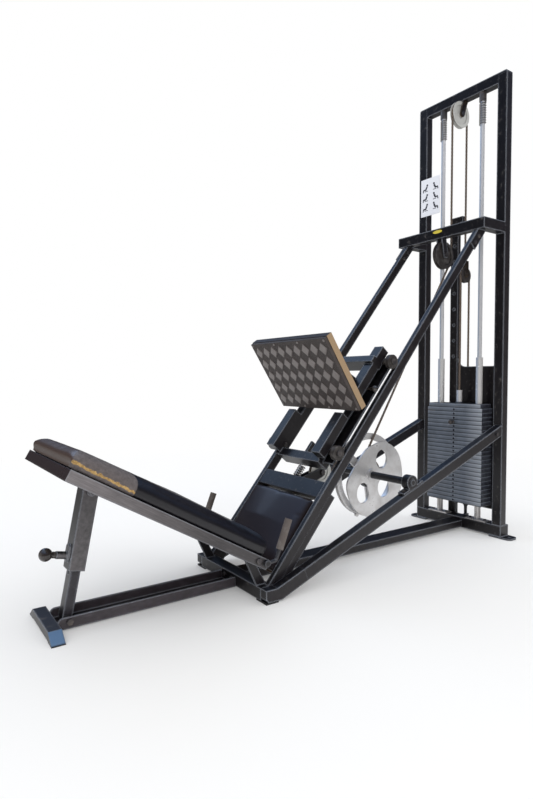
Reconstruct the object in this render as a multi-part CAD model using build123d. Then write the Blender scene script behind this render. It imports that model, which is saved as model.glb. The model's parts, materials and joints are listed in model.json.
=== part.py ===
"""Leg press machine: a carriage with a footplate rolls up two inclined rails and lifts a weight stack.

Millimetres. +X points from the head of the backrest towards the weight tower, +Y is the far side,
+Z is up, and the origin is on the floor under the middle of the machine.
"""
import math
import os

from build123d import *

os.makedirs("parts", exist_ok=True)

# Weight tower
TOWER_X = 925.0            # front faces of the uprights
TOWER_HEIGHT = 2090.0
HALF_WIDTH = 240.0
UPRIGHT_DEPTH = 40.0
UPRIGHT_WIDTH = 45.0
UPRIGHT_INNER = HALF_WIDTH - UPRIGHT_WIDTH
TUBE_WALL = 3.0
BASE_DEPTH = 60.0
BASE_BOTTOM = 8.0
BASE_TOP = 58.0
BAR_FRONT = TOWER_X - 153.0
BAR_BACK = TOWER_X - 113.0
BAR_BOTTOM = 1382.0
BAR_TOP = 1428.0

# Floor frame
MID_FRONT = TOWER_X - 1297.0
MID_BACK = TOWER_X - 1247.0
MID_BOTTOM = 6.0
MID_TOP = 47.0
SPINE_HALF = 36.0
FOOT_FRONT = TOWER_X - 1945.0
FOOT_BACK = TOWER_X - 1906.0
CHANNEL_HALF = 49.0
CHANNEL_BOTTOM = 4.0
CHANNEL_TOP = 39.0
CHANNEL_WALL = 5.0

# Braces from the floor frame to the uprights
BRACE_INNER = 205.5
BRACE_ANGLE = 20.75
BRACE_HEIGHT = 48.0        # measured vertically
BRACE_START = TOWER_X - 1251.0
BRACE_MIDDLE = (BRACE_INNER + HALF_WIDTH) / 2
BRACE_TOP_BOLT = (TOWER_X - 40.0, 482.0)
BEARING_ALONG = 711.0      # where the cam shaft crosses the brace, along its top face
BEARING_BOLTS = (BEARING_ALONG - 42, BEARING_ALONG + 42)

# Rails and the frame that follows them: t runs up the rail, n stands off its upper face
RAIL_ANGLE = 50.05
RAIL_FOOT_X = TOWER_X - 1305.8
RAIL_INNER = 185.0
RAIL_OUTER = 205.0
RAIL_DEPTH = 37.0
RAIL_BOLTS = (1735.0, 1775.0)      # places up the rail of the two bolts at its top

# Rollers and carriage
ROLLER_RADIUS = 28.0
ROLLER_TS = (585.0, 1020.0)
RUN_GAP = 0.05
WEB_INNER = 120.0
WEB_OUTER = 126.0
TUBE_OUTER = 165.0
FLANGE_OUTER = 181.0
CARRIAGE_LOW = 548.0
CARRIAGE_HIGH = 1058.0
ROLLER_AXLE_RADIUS = 6.0

# Footplate: front lower corner in rail coordinates, and how far it leans
PLATE_FOOT = (747.9, 67.1)
PLATE_LEAN = 72.66         # angle between the rail and the footplate
PLATE_LENGTH = 311.0
PLATE_HALF = 233.5
MAT_THICK = 12.0
BOARD_THICK = 25.0
TILT_PIVOT = (815.0, 24.0)
TILT_PIN = (887.0, 26.0)
TILT_RANGE = 10.0

# Cables and pulleys, all but the carriage cable in the plane y = 0
CABLE_RADIUS = 5.0
CABLE_GAP = 0.1            # between a cable and whatever it lies on or passes through
ROD_X = TOWER_X + 18.0
ROD_Y = 108.0
ROD_RADIUS = 10.0
BLOCK_X = TOWER_X + 50.0
BLOCK_Z = 1232.0
BLOCK_PITCH = 32.0
TOP_PULLEY = (TOWER_X - 4.0, 1980.0)
TOP_PITCH = 54.0
BRACKET_PULLEY = (TOWER_X - 116.0, 1308.0)
BRACKET_PITCH = 58.0
CAM = (TOWER_X - 596.0, 325.0)
DRUM_PITCH = 62.0
WHEEL_PITCH = 170.0
WHEEL_Y = 14.0
REDIRECT = (TOWER_X - 857.0, 360.0)
REDIRECT_PITCH = 46.0
ANCHOR_T = 607.0           # where the carriage cable is held on the carriage

# Cam plate, in X and Z from the shaft: its rim, and its windows with their half sizes
CAM_OUTLINE = [(23, 130), (71, 135), (160, 84), (189, 1), (180, -88), (105, -167), (7, -184), (-81, -150),
               (-133, -71), (-139, -29), (-115, 18), (-68, 74), (-26, 112)]
CAM_WINDOWS = [(60, 62, 33, 40), (-50, -73, 35, 43), (73, -62, 35, 43)]
SHAFT_RADIUS = 12.5
WHEEL_HALF = 8.0
WHEEL_RIM = WHEEL_PITCH + 6.0
CLAMP_ANGLE = 251.6        # where the carriage cable is clamped to the wheel

# Weight stack
PLATE_COUNT = 23
LIFTED_COUNT = 4
PLATE_PITCH = 20.0
PLATE_GAP = 0.4
STACK_BOTTOM = 132.0
STACK_TOP = STACK_BOTTOM + PLATE_COUNT * PLATE_PITCH
STACK_FRONT = TOWER_X - 25.0
STACK_BACK = TOWER_X + 55.0
STACK_HALF = 154.0
STEM_RADIUS = 12.0
PIN_RADIUS = 5.0
PIN_ENGAGED = 51.0         # how far the selector pin reaches into the stack
COUPLING_BOTTOM = STACK_TOP + 27.0
COUPLING_TOP = STACK_TOP + 83.0
COUPLING_RADIUS = 13.5

# Backrest: u runs from its head end down to the hips, w stands up from its frame
BACK_HEAD = (TOWER_X - 1911.0, 508.0)
BACK_ANGLE = 29.83
BACK_LENGTH = 723.0
BACK_DEPTH = 34.0
BACK_HALF = 243.0
BACK_BAR = 30.0
BACK_HINGE = (680.0, -17.0)
BACK_PAD_THICK = 54.0
GRIP_BOLT = (709.0, -13.0)
GRIP_TOP = (TOWER_X - 1216.0, 273.0)       # X and Z of the end of each hand grip

# Post under the head end of the backrest
POST_FOOT = (TOWER_X - 1871.0, 24.0)
POST_TOP_PIVOT = (154.3, -36.0)    # in backrest coordinates
PIN_ALONG_POST = 183.0
INNER_TUBE_TOP = 308.0     # along the post; leaves room for the sleeve to slide down

# Fittings behind the stack
GUARD_NEAR = -194.0
GUARD_FAR = 46.0
GUARD_TOP = 790.0
GUARD_FLARE = 42.0         # radius of the hollow curves at the guard's top corners
PIERCED_POST_TOP = 1525.0


def span(x0, x1, y0, y1, z0, z1):
    """A box between two opposite corners."""
    middle = ((x0 + x1) / 2, (y0 + y1) / 2, (z0 + z1) / 2)
    return Pos(*middle) * Box(x1 - x0, y1 - y0, z1 - z0)


def side_plane(y):
    """The plane across the machine at y, with its own x and y along X and Z."""
    return Plane(origin=(0, y, 0), x_dir=(1, 0, 0), z_dir=(0, -1, 0))


def side_plate(points, y0, y1):
    """A plate with a straight-edged outline in X and Z, from y0 to y1."""
    face = side_plane(y1) * Polygon(*points, align=None)
    return extrude(face, amount=y1 - y0, dir=(0, -1, 0))


def disc(x, z, radius, y0, y1):
    """A cylinder along Y."""
    return extrude(side_plane(y1) * Pos(x, z) * Circle(radius), amount=y1 - y0)


def upright(x, y, radius, z0, z1):
    """A cylinder along Z."""
    return Pos(x, y, (z0 + z1) / 2) * Cylinder(radius, z1 - z0)


def rod_between(start, end, radius):
    """A round rod between two points."""
    line = Vector(*end) - Vector(*start)
    return extrude(Plane(origin=start, z_dir=line) * Circle(radius), amount=line.length)


def mirrored(shape):
    """The same shape on the other side of the machine."""
    return shape.mirror(Plane.XZ)


def both(shape):
    """The shape and its mirror image, joined when they touch."""
    return shape + mirrored(shape)


def tilted(x, z, angle):
    """A plane whose own x runs at angle above X, and whose own y is Y."""
    turn = math.radians(angle)
    along = (math.cos(turn), 0, math.sin(turn))
    normal = (-math.sin(turn), 0, math.cos(turn))
    return Plane(origin=(x, 0, z), x_dir=along, z_dir=normal)


RAIL = tilted(RAIL_FOOT_X, 0, RAIL_ANGLE)
BRACE = tilted(BRACE_START, MID_TOP, BRACE_ANGLE)
BACK = tilted(*BACK_HEAD, -BACK_ANGLE)


def point_on(plane, along, off):
    """X and Z of a point given along and off a tilted plane."""
    place = plane.from_local_coords((along, 0, off))
    return (place.X, place.Z)


def outline_on(plane, points):
    """Turns an outline given on a tilted plane into X and Z."""
    return [point_on(plane, along, off) for along, off in points]


HINGE = point_on(BACK, *BACK_HINGE)
POST_HEAD = point_on(BACK, *POST_TOP_PIVOT)
POST_LEAN = math.atan2(POST_HEAD[0] - POST_FOOT[0], POST_HEAD[1] - POST_FOOT[1])
POST_LENGTH = math.dist(POST_FOOT, POST_HEAD)
# Its own z runs up the post and its own x points away from the head end
POST = Plane(
    origin=(POST_FOOT[0], 0, POST_FOOT[1]),
    x_dir=(math.cos(POST_LEAN), 0, -math.sin(POST_LEAN)),
    z_dir=(math.sin(POST_LEAN), 0, math.cos(POST_LEAN)),
)

parts = {}


def keep(name, *shapes):
    """Writes a node: one solid, or a group of separate ones."""
    solids = [solid for shape in shapes for solid in shape.solids()]
    parts[name] = solids
    whole = solids[0] if len(solids) == 1 else Compound(children=solids)
    export_step(whole, f"parts/{name}.step")


def bolt(x, z, y_head, y_end, radius=5.0, head=9.0, thick=6.0):
    """A bolt along Y: its head sits outside y_head and its nut outside y_end."""
    way = 1 if y_head > y_end else -1
    body = disc(x, z, radius, min(y_head, y_end), max(y_head, y_end))
    hexagon = RegularPolygon(head, 6)
    for y, step in ((y_head, way * thick), (y_end, -way * thick)):
        high = max(y, y + step)
        body += extrude(side_plane(high) * Pos(x, z) * hexagon, amount=thick)
    return body


def bolt_hole(x, z, y0, y1, radius=5.0, gap=0.05):
    """The space a bolt passes through."""
    return disc(x, z, radius + gap, min(y0, y1), max(y0, y1))


def coil(x, y, radius, wire, z0, z1, pitch):
    """A compression spring standing on z0."""
    path = Helix(pitch=pitch, height=z1 - z0 - 2 * wire, radius=radius)
    section = Plane(origin=path @ 0, z_dir=path % 0) * Circle(wire)
    return Pos(x, y, z0 + wire) * sweep(section, path=path)


def rail_bolt_places():
    """X and Z of the bolts that hold the top of each rail."""
    return [point_on(RAIL, t, -RAIL_DEPTH / 2) for t in RAIL_BOLTS]


def bearing_bolt_holes():
    """The holes through the top of the far brace, and through the bearing on it."""
    holes = [Pos(along, BRACE_MIDDLE, 0) * Cylinder(5.05, 40) for along in BEARING_BOLTS]
    return BRACE.location * Compound(children=holes)


def pulley_bolt_hole(centre):
    return bolt_hole(*centre, -17, 17, 6.0)


def build_tower():
    """The welded uprights, top bar and the bracket that holds the rails."""
    outer = span(TOWER_X, TOWER_X + UPRIGHT_DEPTH, -HALF_WIDTH, HALF_WIDTH, BASE_TOP, TOWER_HEIGHT)
    outer = fillet(outer.edges().filter_by(Axis.X).group_by(Axis.Z)[-1], 8)
    opening = span(TOWER_X, TOWER_X + UPRIGHT_DEPTH, -UPRIGHT_INNER, UPRIGHT_INNER,
                   BASE_TOP, TOWER_HEIGHT - UPRIGHT_WIDTH)
    bore = both(span(TOWER_X + TUBE_WALL, TOWER_X + UPRIGHT_DEPTH - TUBE_WALL,
                     UPRIGHT_INNER + TUBE_WALL, HALF_WIDTH - TUBE_WALL,
                     BASE_TOP, TOWER_HEIGHT - TUBE_WALL * 3))
    frame = outer - opening - bore
    bar = span(BAR_FRONT, BAR_BACK, -HALF_WIDTH, HALF_WIDTH, BAR_BOTTOM, BAR_TOP)
    arm = span(BAR_BACK, TOWER_X, UPRIGHT_INNER, HALF_WIDTH, BAR_BOTTOM, BAR_TOP)
    cheek_outline = [(1715, 2), (1715, -40), (1830, -40), (1830, 2)]
    cheek = side_plate(outline_on(RAIL, cheek_outline), RAIL_OUTER, RAIL_OUTER + 6)
    cheek &= span(0, TOWER_X, 0, HALF_WIDTH, 1200, BAR_BOTTOM + 1)
    frame += bar + both(arm) + both(cheek)
    for x, z in rail_bolt_places():
        frame -= both(bolt_hole(x, z, RAIL_OUTER - 1, RAIL_OUTER + 8))
    frame -= pulley_bolt_hole(TOP_PULLEY) + pulley_bolt_hole(BRACKET_PULLEY)
    keep("tower_frame", frame)


def build_tower_base():
    """The cross tube under the tower, its two floor plates and the lug that holds the stack cable."""
    back = TOWER_X + BASE_DEPTH
    tube = span(TOWER_X, back, -HALF_WIDTH, HALF_WIDTH, BASE_BOTTOM, BASE_TOP)
    inner = HALF_WIDTH - TUBE_WALL
    tube -= span(TOWER_X + TUBE_WALL, back - TUBE_WALL, -inner, inner,
                 BASE_BOTTOM + TUBE_WALL, BASE_TOP - TUBE_WALL)
    middle = TOWER_X + BASE_DEPTH / 2
    foot = Pos(middle, 235, BASE_BOTTOM / 2) * Box(66, 106, BASE_BOTTOM)
    foot = fillet(foot.edges().filter_by(Axis.Z).group_by(Axis.Y)[-1], 22)
    foot -= upright(middle, 266, 6, 0, BASE_BOTTOM)
    lug = span(back, TOWER_X + 95, -6, 6, 20, BASE_TOP)
    for y in (-ROD_Y, ROD_Y):
        for step in (-40, 40):
            tube -= upright(ROD_X, y + step, 4.05, BASE_TOP - TUBE_WALL, BASE_TOP)
    keep("tower_base", tube + both(foot) + lug)


def build_braces():
    """Sloping side tubes with a flat foot at the front."""
    depth = math.cos(math.radians(BRACE_ANGLE)) * BRACE_HEIGHT
    slope = math.tan(math.radians(BRACE_ANGLE))
    top_z = MID_TOP + (TOWER_X - BRACE_START) * slope
    low_x = TOWER_X - (top_z - BRACE_HEIGHT - MID_BOTTOM) / slope
    outline = [(MID_FRONT, MID_BOTTOM + 10), (MID_FRONT, MID_TOP), (BRACE_START, MID_TOP), (TOWER_X, top_z),
               (TOWER_X, top_z - BRACE_HEIGHT), (low_x, MID_BOTTOM), (MID_FRONT + 10, MID_BOTTOM)]
    brace = side_plate(outline, BRACE_INNER, HALF_WIDTH)
    bore = BRACE.location * span(120, 1500, BRACE_INNER + TUBE_WALL, HALF_WIDTH - TUBE_WALL,
                                 TUBE_WALL - depth, -TUBE_WALL)
    brace -= bore & span(BRACE_START, TOWER_X, 0, HALF_WIDTH, 0, top_z)
    brace -= bearing_bolt_holes()
    brace -= bolt_hole(*BRACE_TOP_BOLT, BRACE_INNER, HALF_WIDTH)
    keep("brace_far", brace)
    keep("brace_near", mirrored(brace))


def build_floor_frame():
    """The cross tube at the foot of the rails, the spine behind it and the channel in front of it."""
    mid = span(MID_FRONT, MID_BACK, -BRACE_INNER + 0.5, BRACE_INNER - 0.5, MID_BOTTOM, MID_TOP)
    lug_outline = [(MID_FRONT + 2, MID_TOP), (MID_FRONT + 40, MID_TOP), (HINGE[0] + 16, HINGE[1]),
                   (HINGE[0] - 16, HINGE[1])]
    lug = side_plate(lug_outline, 170, 178) + disc(*HINGE, 16, 170, 178)
    lug -= bolt_hole(*HINGE, 169, 179, 6.0)
    keep("mid_cross_base", mid + both(lug))
    spine = span(MID_BACK, TOWER_X, -SPINE_HALF, SPINE_HALF, 12, 44)
    spine -= span(MID_BACK, TOWER_X, -SPINE_HALF + TUBE_WALL, SPINE_HALF - TUBE_WALL,
                  12 + TUBE_WALL, 44 - TUBE_WALL)
    keep("rear_floor_spine", spine)
    channel = span(FOOT_BACK, MID_FRONT, -CHANNEL_HALF, CHANNEL_HALF, CHANNEL_BOTTOM, CHANNEL_TOP)
    channel = fillet(channel.edges().filter_by(Axis.Y).group_by(Axis.Z)[-1].group_by(Axis.X)[0], 16)
    inner = CHANNEL_HALF - CHANNEL_WALL
    channel -= span(FOOT_BACK - 1, MID_FRONT + 1, -inner, inner,
                    CHANNEL_BOTTOM + CHANNEL_WALL, CHANNEL_TOP + 1)
    channel -= bolt_hole(*POST_FOOT, -60, 60, 6.0)
    bar_outline = [(-135, 3), (-97, 30), (97, 30), (135, 3)]
    section = Plane(origin=(FOOT_FRONT, 0, 0), x_dir=(0, 1, 0), z_dir=(1, 0, 0))
    bar = extrude(section * Polygon(*bar_outline, align=None), amount=FOOT_BACK - FOOT_FRONT, dir=(1, 0, 0))
    keep("front_base", channel + bar)
    pad = span(FOOT_FRONT, FOOT_BACK, 96, 137, 0, 3 - RUN_GAP)
    mid_pad = span(MID_FRONT, MID_BACK, 180, HALF_WIDTH, 0, MID_BOTTOM - RUN_GAP)
    keep("rubber_feet", both(pad), both(mid_pad))


def build_rails():
    """Two inclined rails with a stiffener under their lower part, and the member between them."""
    rail = RAIL.location * span(0, 1900, RAIL_INNER, RAIL_OUTER, -RAIL_DEPTH, 0)
    rail -= RAIL.location * span(0, 1900, RAIL_INNER + TUBE_WALL, RAIL_OUTER - TUBE_WALL,
                                 TUBE_WALL - RAIL_DEPTH, -TUBE_WALL)
    rail += RAIL.location * span(30, 450, RAIL_INNER, RAIL_OUTER, -RAIL_DEPTH - 22, -RAIL_DEPTH)
    rail &= span(MID_FRONT, TOWER_X, 0, 300, 12, BAR_BOTTOM)
    rail -= span(MID_FRONT - 100, MID_BACK, 0, 300, 0, MID_TOP)
    for x, z in rail_bolt_places():
        rail -= bolt_hole(x, z, RAIL_INNER, RAIL_OUTER)
    keep("rail_far", rail)
    keep("rail_near", mirrored(rail))
    member = RAIL.location * span(412, 476, -RAIL_INNER, RAIL_INNER, -36, -2)
    member += RAIL.location * (Pos(497, 0, -14) * Rot(0, 90, 0) * Cylinder(7, 44))
    arm_outline = [(440, -30), (476, -30), (576, -98), (584, -113), (564, -130), (546, -124), (440, -60)]
    for y0, y1 in ((-2, 4), (24, 30)):
        member += side_plate(outline_on(RAIL, arm_outline), y0, y1)
    member -= bolt_hole(*REDIRECT, -3, 31, 6.0)
    bars = [RAIL.location * span(t, t + 30, -RAIL_INNER, RAIL_INNER, -58, -52 - RUN_GAP) for t in (150, 340)]
    keep("rail_cross_members", member, *bars)
    spring = coil(0, 0, 12.5, 2.5, 0, 57, 9)
    keep("bumper_spring", RAIL.location * (Pos(477, 0, -14) * Rot(0, 90, 0) * spring))


def build_seat():
    """The short seat between the rails."""
    pad = span(118, 398, -180, 180, -38, 9)
    pad = fillet(pad.edges().group_by(Axis.Z)[-1], 14)
    keep("seat_pad", RAIL.location * pad)
    keep("seat_board", RAIL.location * span(112, 404, -180, 180, -52, -38 - RUN_GAP))


def build_bolts():
    """Every bolt of the fixed frame, the pulley axle bolts among them."""
    bolts = []
    for x, z in rail_bolt_places():
        bolts += both(bolt(x, z, RAIL_OUTER + 6, RAIL_INNER)).solids()
    bolts += both(bolt(*BRACE_TOP_BOLT, HALF_WIDTH, BRACE_INNER)).solids()
    bolts.append(bolt(*TOP_PULLEY, 16, -16, 6.0, 11))
    bolts.append(bolt(*BRACKET_PULLEY, 17, -17, 6.0, 11))
    bolts.append(bolt(*REDIRECT, 30, -2, 6.0, 11))
    bolts.append(bolt(*POST_FOOT, CHANNEL_HALF, -CHANNEL_HALF, 6.0, 10))
    spacer = disc(*POST_FOOT, 12, 20.2, CHANNEL_HALF - CHANNEL_WALL - 0.2)
    spacer -= bolt_hole(*POST_FOOT, 20, 60, 6.0)
    bolts += both(spacer).solids()
    bolts += both(bolt(*HINGE, BACK_HALF, 170, 6.0, 10)).solids()
    for along in BEARING_BOLTS:
        stud = BRACE.location * (Pos(along, BRACE_MIDDLE, -10) * Cylinder(5, 40))
        nut = BRACE.location * (Pos(along, BRACE_MIDDLE, 9.0) * extrude(RegularPolygon(8, 6), amount=6))
        bolts += both(stud + nut).solids()
    for y in (-ROD_Y, ROD_Y):
        for step in (-40, 40):
            screw = upright(ROD_X, y + step, 4, BASE_TOP - TUBE_WALL, 65)
            head = Pos(ROD_X, y + step, 64) * extrude(RegularPolygon(7, 6), amount=5)
            bolts.append(screw + head)
    for y in (-24, 24):
        head = Pos(MID_FRONT, y, 28) * Rot(0, -90, 0) * extrude(RegularPolygon(9, 6), amount=6)
        bolts.append(head)
    keep("frame_bolts", *bolts)


def build_guide_rods():
    """The two rods the stack rides on, with their stops and springs."""
    rods = [upright(ROD_X, y, ROD_RADIUS, 64, TOWER_HEIGHT - UPRIGHT_WIDTH) for y in (-ROD_Y, ROD_Y)]
    keep("guide_rods", *rods)
    stops = []
    springs = []
    for y in (-ROD_Y, ROD_Y):
        flange = span(ROD_X - 22, ROD_X + 22, y - 54, y + 54, BASE_TOP, 64)
        for step in (-40, 40):
            flange -= upright(ROD_X, y + step, 4.05, BASE_TOP, 64)
        tube = upright(ROD_X, y, 14, 64, STACK_BOTTOM - 1) - upright(ROD_X, y, 10.1, 64, STACK_BOTTOM)
        stops.append(flange + tube)
        collar_top = TOWER_HEIGHT - UPRIGHT_WIDTH - RUN_GAP
        collar = upright(ROD_X, y, 16, 2005, collar_top) - upright(ROD_X, y, 10.05, 2005, collar_top)
        springs += [collar, coil(ROD_X, y, 13.5, 2.2, 1898, 2004, 11)]
    keep("stack_stop_tubes", *stops)
    keep("top_springs", *springs)


def weight_plate(z0, half=STACK_HALF, thick=PLATE_PITCH - PLATE_GAP):
    """One weight plate with its rod holes, centre hole and pin hole."""
    plate = span(STACK_FRONT, STACK_BACK, -half, half, z0, z0 + thick)
    plate = chamfer(plate.edges().filter_by(Axis.X), 2)
    for y in (-ROD_Y, ROD_Y):
        plate -= upright(ROD_X, y, ROD_RADIUS + 1, z0, z0 + thick)
    return plate - upright(ROD_X, 0, STEM_RADIUS + 1, z0, z0 + thick)


def pin_hole(z, length, radius=PIN_RADIUS + 0.4):
    """A hole along X from the front of the stack."""
    return Pos(STACK_FRONT + length / 2, 0, z) * Rot(0, 90, 0) * Cylinder(radius, length)


def build_stack():
    """The plates below and above the selector pin, the stem, its pin and the sleeves."""
    middle = (PLATE_PITCH - PLATE_GAP) / 2
    plates = []
    for index in range(PLATE_COUNT):
        z0 = STACK_BOTTOM + index * PLATE_PITCH
        plates.append(weight_plate(z0) - pin_hole(z0 + middle, ROD_X - STACK_FRONT))
    keep("lower_weight_plates", *plates[:PLATE_COUNT - LIFTED_COUNT])
    keep("lifted_weight_plates", *plates[PLATE_COUNT - LIFTED_COUNT:])
    head = weight_plate(STACK_TOP, 146, 19.5) + upright(ROD_X, 0, 18, STACK_TOP + 19, COUPLING_BOTTOM - 1)
    keep("head_plate", head - upright(ROD_X, 0, STEM_RADIUS + 0.05, STACK_TOP - 1, COUPLING_BOTTOM))
    stem = upright(ROD_X, 0, STEM_RADIUS, STACK_BOTTOM + 4, COUPLING_BOTTOM + 20)
    for index in range(PLATE_COUNT):
        stem -= pin_hole(STACK_BOTTOM + index * PLATE_PITCH + middle, ROD_X - STACK_FRONT + STEM_RADIUS + 1)
    stem += upright(ROD_X, 0, COUPLING_RADIUS, COUPLING_BOTTOM, COUPLING_TOP)
    stem -= upright(ROD_X, 0, CABLE_RADIUS + CABLE_GAP, COUPLING_TOP - 20, COUPLING_TOP)
    keep("stack_stem", stem)
    sleeves = []
    for y in (-ROD_Y, ROD_Y):
        sleeve = upright(ROD_X, y, 15.5, STACK_TOP + 19.6, 830)
        sleeves.append(sleeve - upright(ROD_X, y, ROD_RADIUS + 0.4, STACK_TOP, 831))
    keep("rod_sleeves", *sleeves)
    level = STACK_BOTTOM + (PLATE_COUNT - LIFTED_COUNT) * PLATE_PITCH + middle
    shank = rod_between((STACK_FRONT - 14, 0, level), (STACK_FRONT + PIN_ENGAGED, 0, level), PIN_RADIUS)
    knob = rod_between((STACK_FRONT - 28, 0, level), (STACK_FRONT - 6, 0, level), 11)
    keep("selector_pin", shank + fillet(knob.edges(), 3))


def pulley(centre, pitch, outer, half, y=0.0, bore=6.05, hub=14.0):
    """A grooved pulley: the cable's middle runs at the pitch radius."""
    floor = pitch - CABLE_RADIUS - CABLE_GAP
    mouth = min(half - 1.5, CABLE_RADIUS + 2.5)
    profile = [(0, -half), (outer, -half), (outer, -mouth), (floor, -CABLE_RADIUS + 0.8),
               (floor, CABLE_RADIUS - 0.8), (outer, mouth), (outer, half), (0, half)]
    wheel = revolve(Plane.XY * Polygon(*profile, align=None), Axis.Y)
    recess = (floor - hub - 6) / 2
    if recess > 8:
        ring = (hub + floor - 4) / 2
        web = Rot(90, 0, 0) * (Cylinder(ring + recess, 2 * half) - Cylinder(ring - recess, 2 * half))
        web -= Rot(90, 0, 0) * Cylinder(outer, half)
        wheel -= web
    wheel -= Rot(90, 0, 0) * Cylinder(bore, 4 * half)
    return Pos(centre[0], y, centre[1]) * wheel


def hanger(centre, x0, x1, z_top, inner, thick):
    """A strap on each side of a pulley, hung from a bar above it."""
    x, z = centre
    outline = [(x0, z_top), (x1, z_top), (x + 14, z), (x - 14, z)]
    strap = side_plate(outline, inner, inner + thick) + disc(x, z, 14, inner, inner + thick)
    strap -= bolt_hole(x, z, inner - 1, inner + thick + 1, 6.0)
    return both(strap)


def build_pulleys():
    """The fixed pulleys with their hangers, and the running block that lifts the stack."""
    keep("top_pulley", pulley(TOP_PULLEY, TOP_PITCH, 60, 9))
    top = hanger(TOP_PULLEY, TOWER_X + 4, TOWER_X + 36, TOWER_HEIGHT - UPRIGHT_WIDTH, 10, 6)
    keep("top_pulley_hanger", top)
    keep("bracket_pulley", pulley(BRACKET_PULLEY, BRACKET_PITCH, 63, 10))
    low = hanger(BRACKET_PULLEY, BAR_FRONT + 6, BAR_BACK - 2, BAR_BOTTOM, 11, 6)
    keep("bracket_pulley_hanger", low)
    keep("redirect_pulley", pulley(REDIRECT, REDIRECT_PITCH, 52, 8, WHEEL_Y))
    keep("block_pulley", pulley((BLOCK_X, BLOCK_Z), BLOCK_PITCH, 36, 7.5, 0, 5.05, 10))
    strap = span(BLOCK_X - 12, BLOCK_X + 12, 8, 12, BLOCK_Z, 1300) + disc(BLOCK_X, BLOCK_Z, 12, 8, 12)
    cap = span(BLOCK_X - 12, BLOCK_X + 12, -12, 12, 1284, 1300)
    cap -= upright(BLOCK_X, 0, CABLE_RADIUS + CABLE_GAP, 1284, 1300)
    straps = both(strap) + cap + disc(BLOCK_X, BLOCK_Z, 5, -14, 14)
    straps += both(disc(BLOCK_X, BLOCK_Z, 9, 12, 17))
    keep("block_straps", straps)


def tangent(first, second, first_radius, second_radius, side):
    """Touch points of the line that crosses between two circles, on the given side of the first."""
    dx, dz = second[0] - first[0], second[1] - first[1]
    line = math.atan2(dz, dx) - side * math.asin((first_radius + second_radius) / math.hypot(dx, dz))
    off = line + side * math.pi / 2
    start = (first[0] + first_radius * math.cos(off), first[1] + first_radius * math.sin(off))
    end = (second[0] - second_radius * math.cos(off), second[1] - second_radius * math.sin(off))
    return start, end


def cable_along(path, start, way, y=0.0):
    """A cable swept along a flat path in the plane at y."""
    section = Plane(origin=(start[0], y, start[1]), z_dir=(way[0], 0, way[1]))
    return sweep(section * Circle(CABLE_RADIUS), path=path)


def arc_in_plane(centre, radius, first, last, y=0.0):
    """An arc across the machine between two angles in degrees, measured from X towards Z."""
    spots = []
    for angle in (first, (first + last) / 2, last):
        turn = math.radians(angle)
        spots.append((centre[0] + radius * math.cos(turn), y, centre[1] + radius * math.sin(turn)))
    return ThreePointArc(*spots)


def build_cables():
    """The cable from the block over both pulleys to the cam, and the strands that change length."""
    right = (TOP_PULLEY[0] + TOP_PITCH, 0, TOP_PULLEY[1])
    left = (TOP_PULLEY[0] - TOP_PITCH, 0, TOP_PULLEY[1])
    leave, drum = tangent(BRACKET_PULLEY, CAM, BRACKET_PITCH, DRUM_PITCH, 1)
    leave_angle = math.degrees(math.atan2(leave[1] - BRACKET_PULLEY[1], leave[0] - BRACKET_PULLEY[0]))
    low = (left[0], 0, BRACKET_PULLEY[1])
    path = Wire([
        arc_in_plane(TOP_PULLEY, TOP_PITCH, 0, 180).edge(),
        Line(left, low).edge(),
        arc_in_plane(BRACKET_PULLEY, BRACKET_PITCH, 0, leave_angle).edge(),
        Line((leave[0], 0, leave[1]), (drum[0], 0, drum[1])).edge(),
    ])
    main = cable_along(path, (right[0], right[2]), (0, 1))
    touch, low_touch = tangent(CAM, REDIRECT, WHEEL_PITCH, REDIRECT_PITCH, -1)
    start_angle = math.degrees(math.atan2(low_touch[1] - REDIRECT[1], low_touch[0] - REDIRECT[0]))
    end_angle = RAIL_ANGLE + 90 - 360
    path = Wire([
        Line((touch[0], WHEEL_Y, touch[1]), (low_touch[0], WHEEL_Y, low_touch[1])).edge(),
        arc_in_plane(REDIRECT, REDIRECT_PITCH, start_angle, end_angle, WHEEL_Y).edge(),
    ])
    way = (low_touch[0] - touch[0], low_touch[1] - touch[1])
    low_run = cable_along(path, touch, way, WHEEL_Y)
    keep("guided_cables", main, low_run)
    turn = math.radians(end_angle)
    off = (REDIRECT[0] + REDIRECT_PITCH * math.cos(turn), REDIRECT[1] + REDIRECT_PITCH * math.sin(turn))
    start_t, _, n = tuple(RAIL.to_local_coords(Vector(off[0], 0, off[1])))
    x0, z0 = point_on(RAIL, start_t, n)
    x1, z1 = point_on(RAIL, ANCHOR_T, n)
    keep("carriage_cable", rod_between((x0, WHEEL_Y, z0), (x1, WHEEL_Y, z1), CABLE_RADIUS))
    keep("block_lift_cable", upright(BLOCK_X, 0, CABLE_RADIUS, 1286, TOP_PULLEY[1]))
    stem_end = COUPLING_TOP - 18
    keep("stem_cable", upright(BLOCK_X - BLOCK_PITCH, 0, CABLE_RADIUS, stem_end, BLOCK_Z))
    keep("anchor_cable", upright(BLOCK_X + BLOCK_PITCH, 0, CABLE_RADIUS, BASE_TOP, BLOCK_Z))


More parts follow.
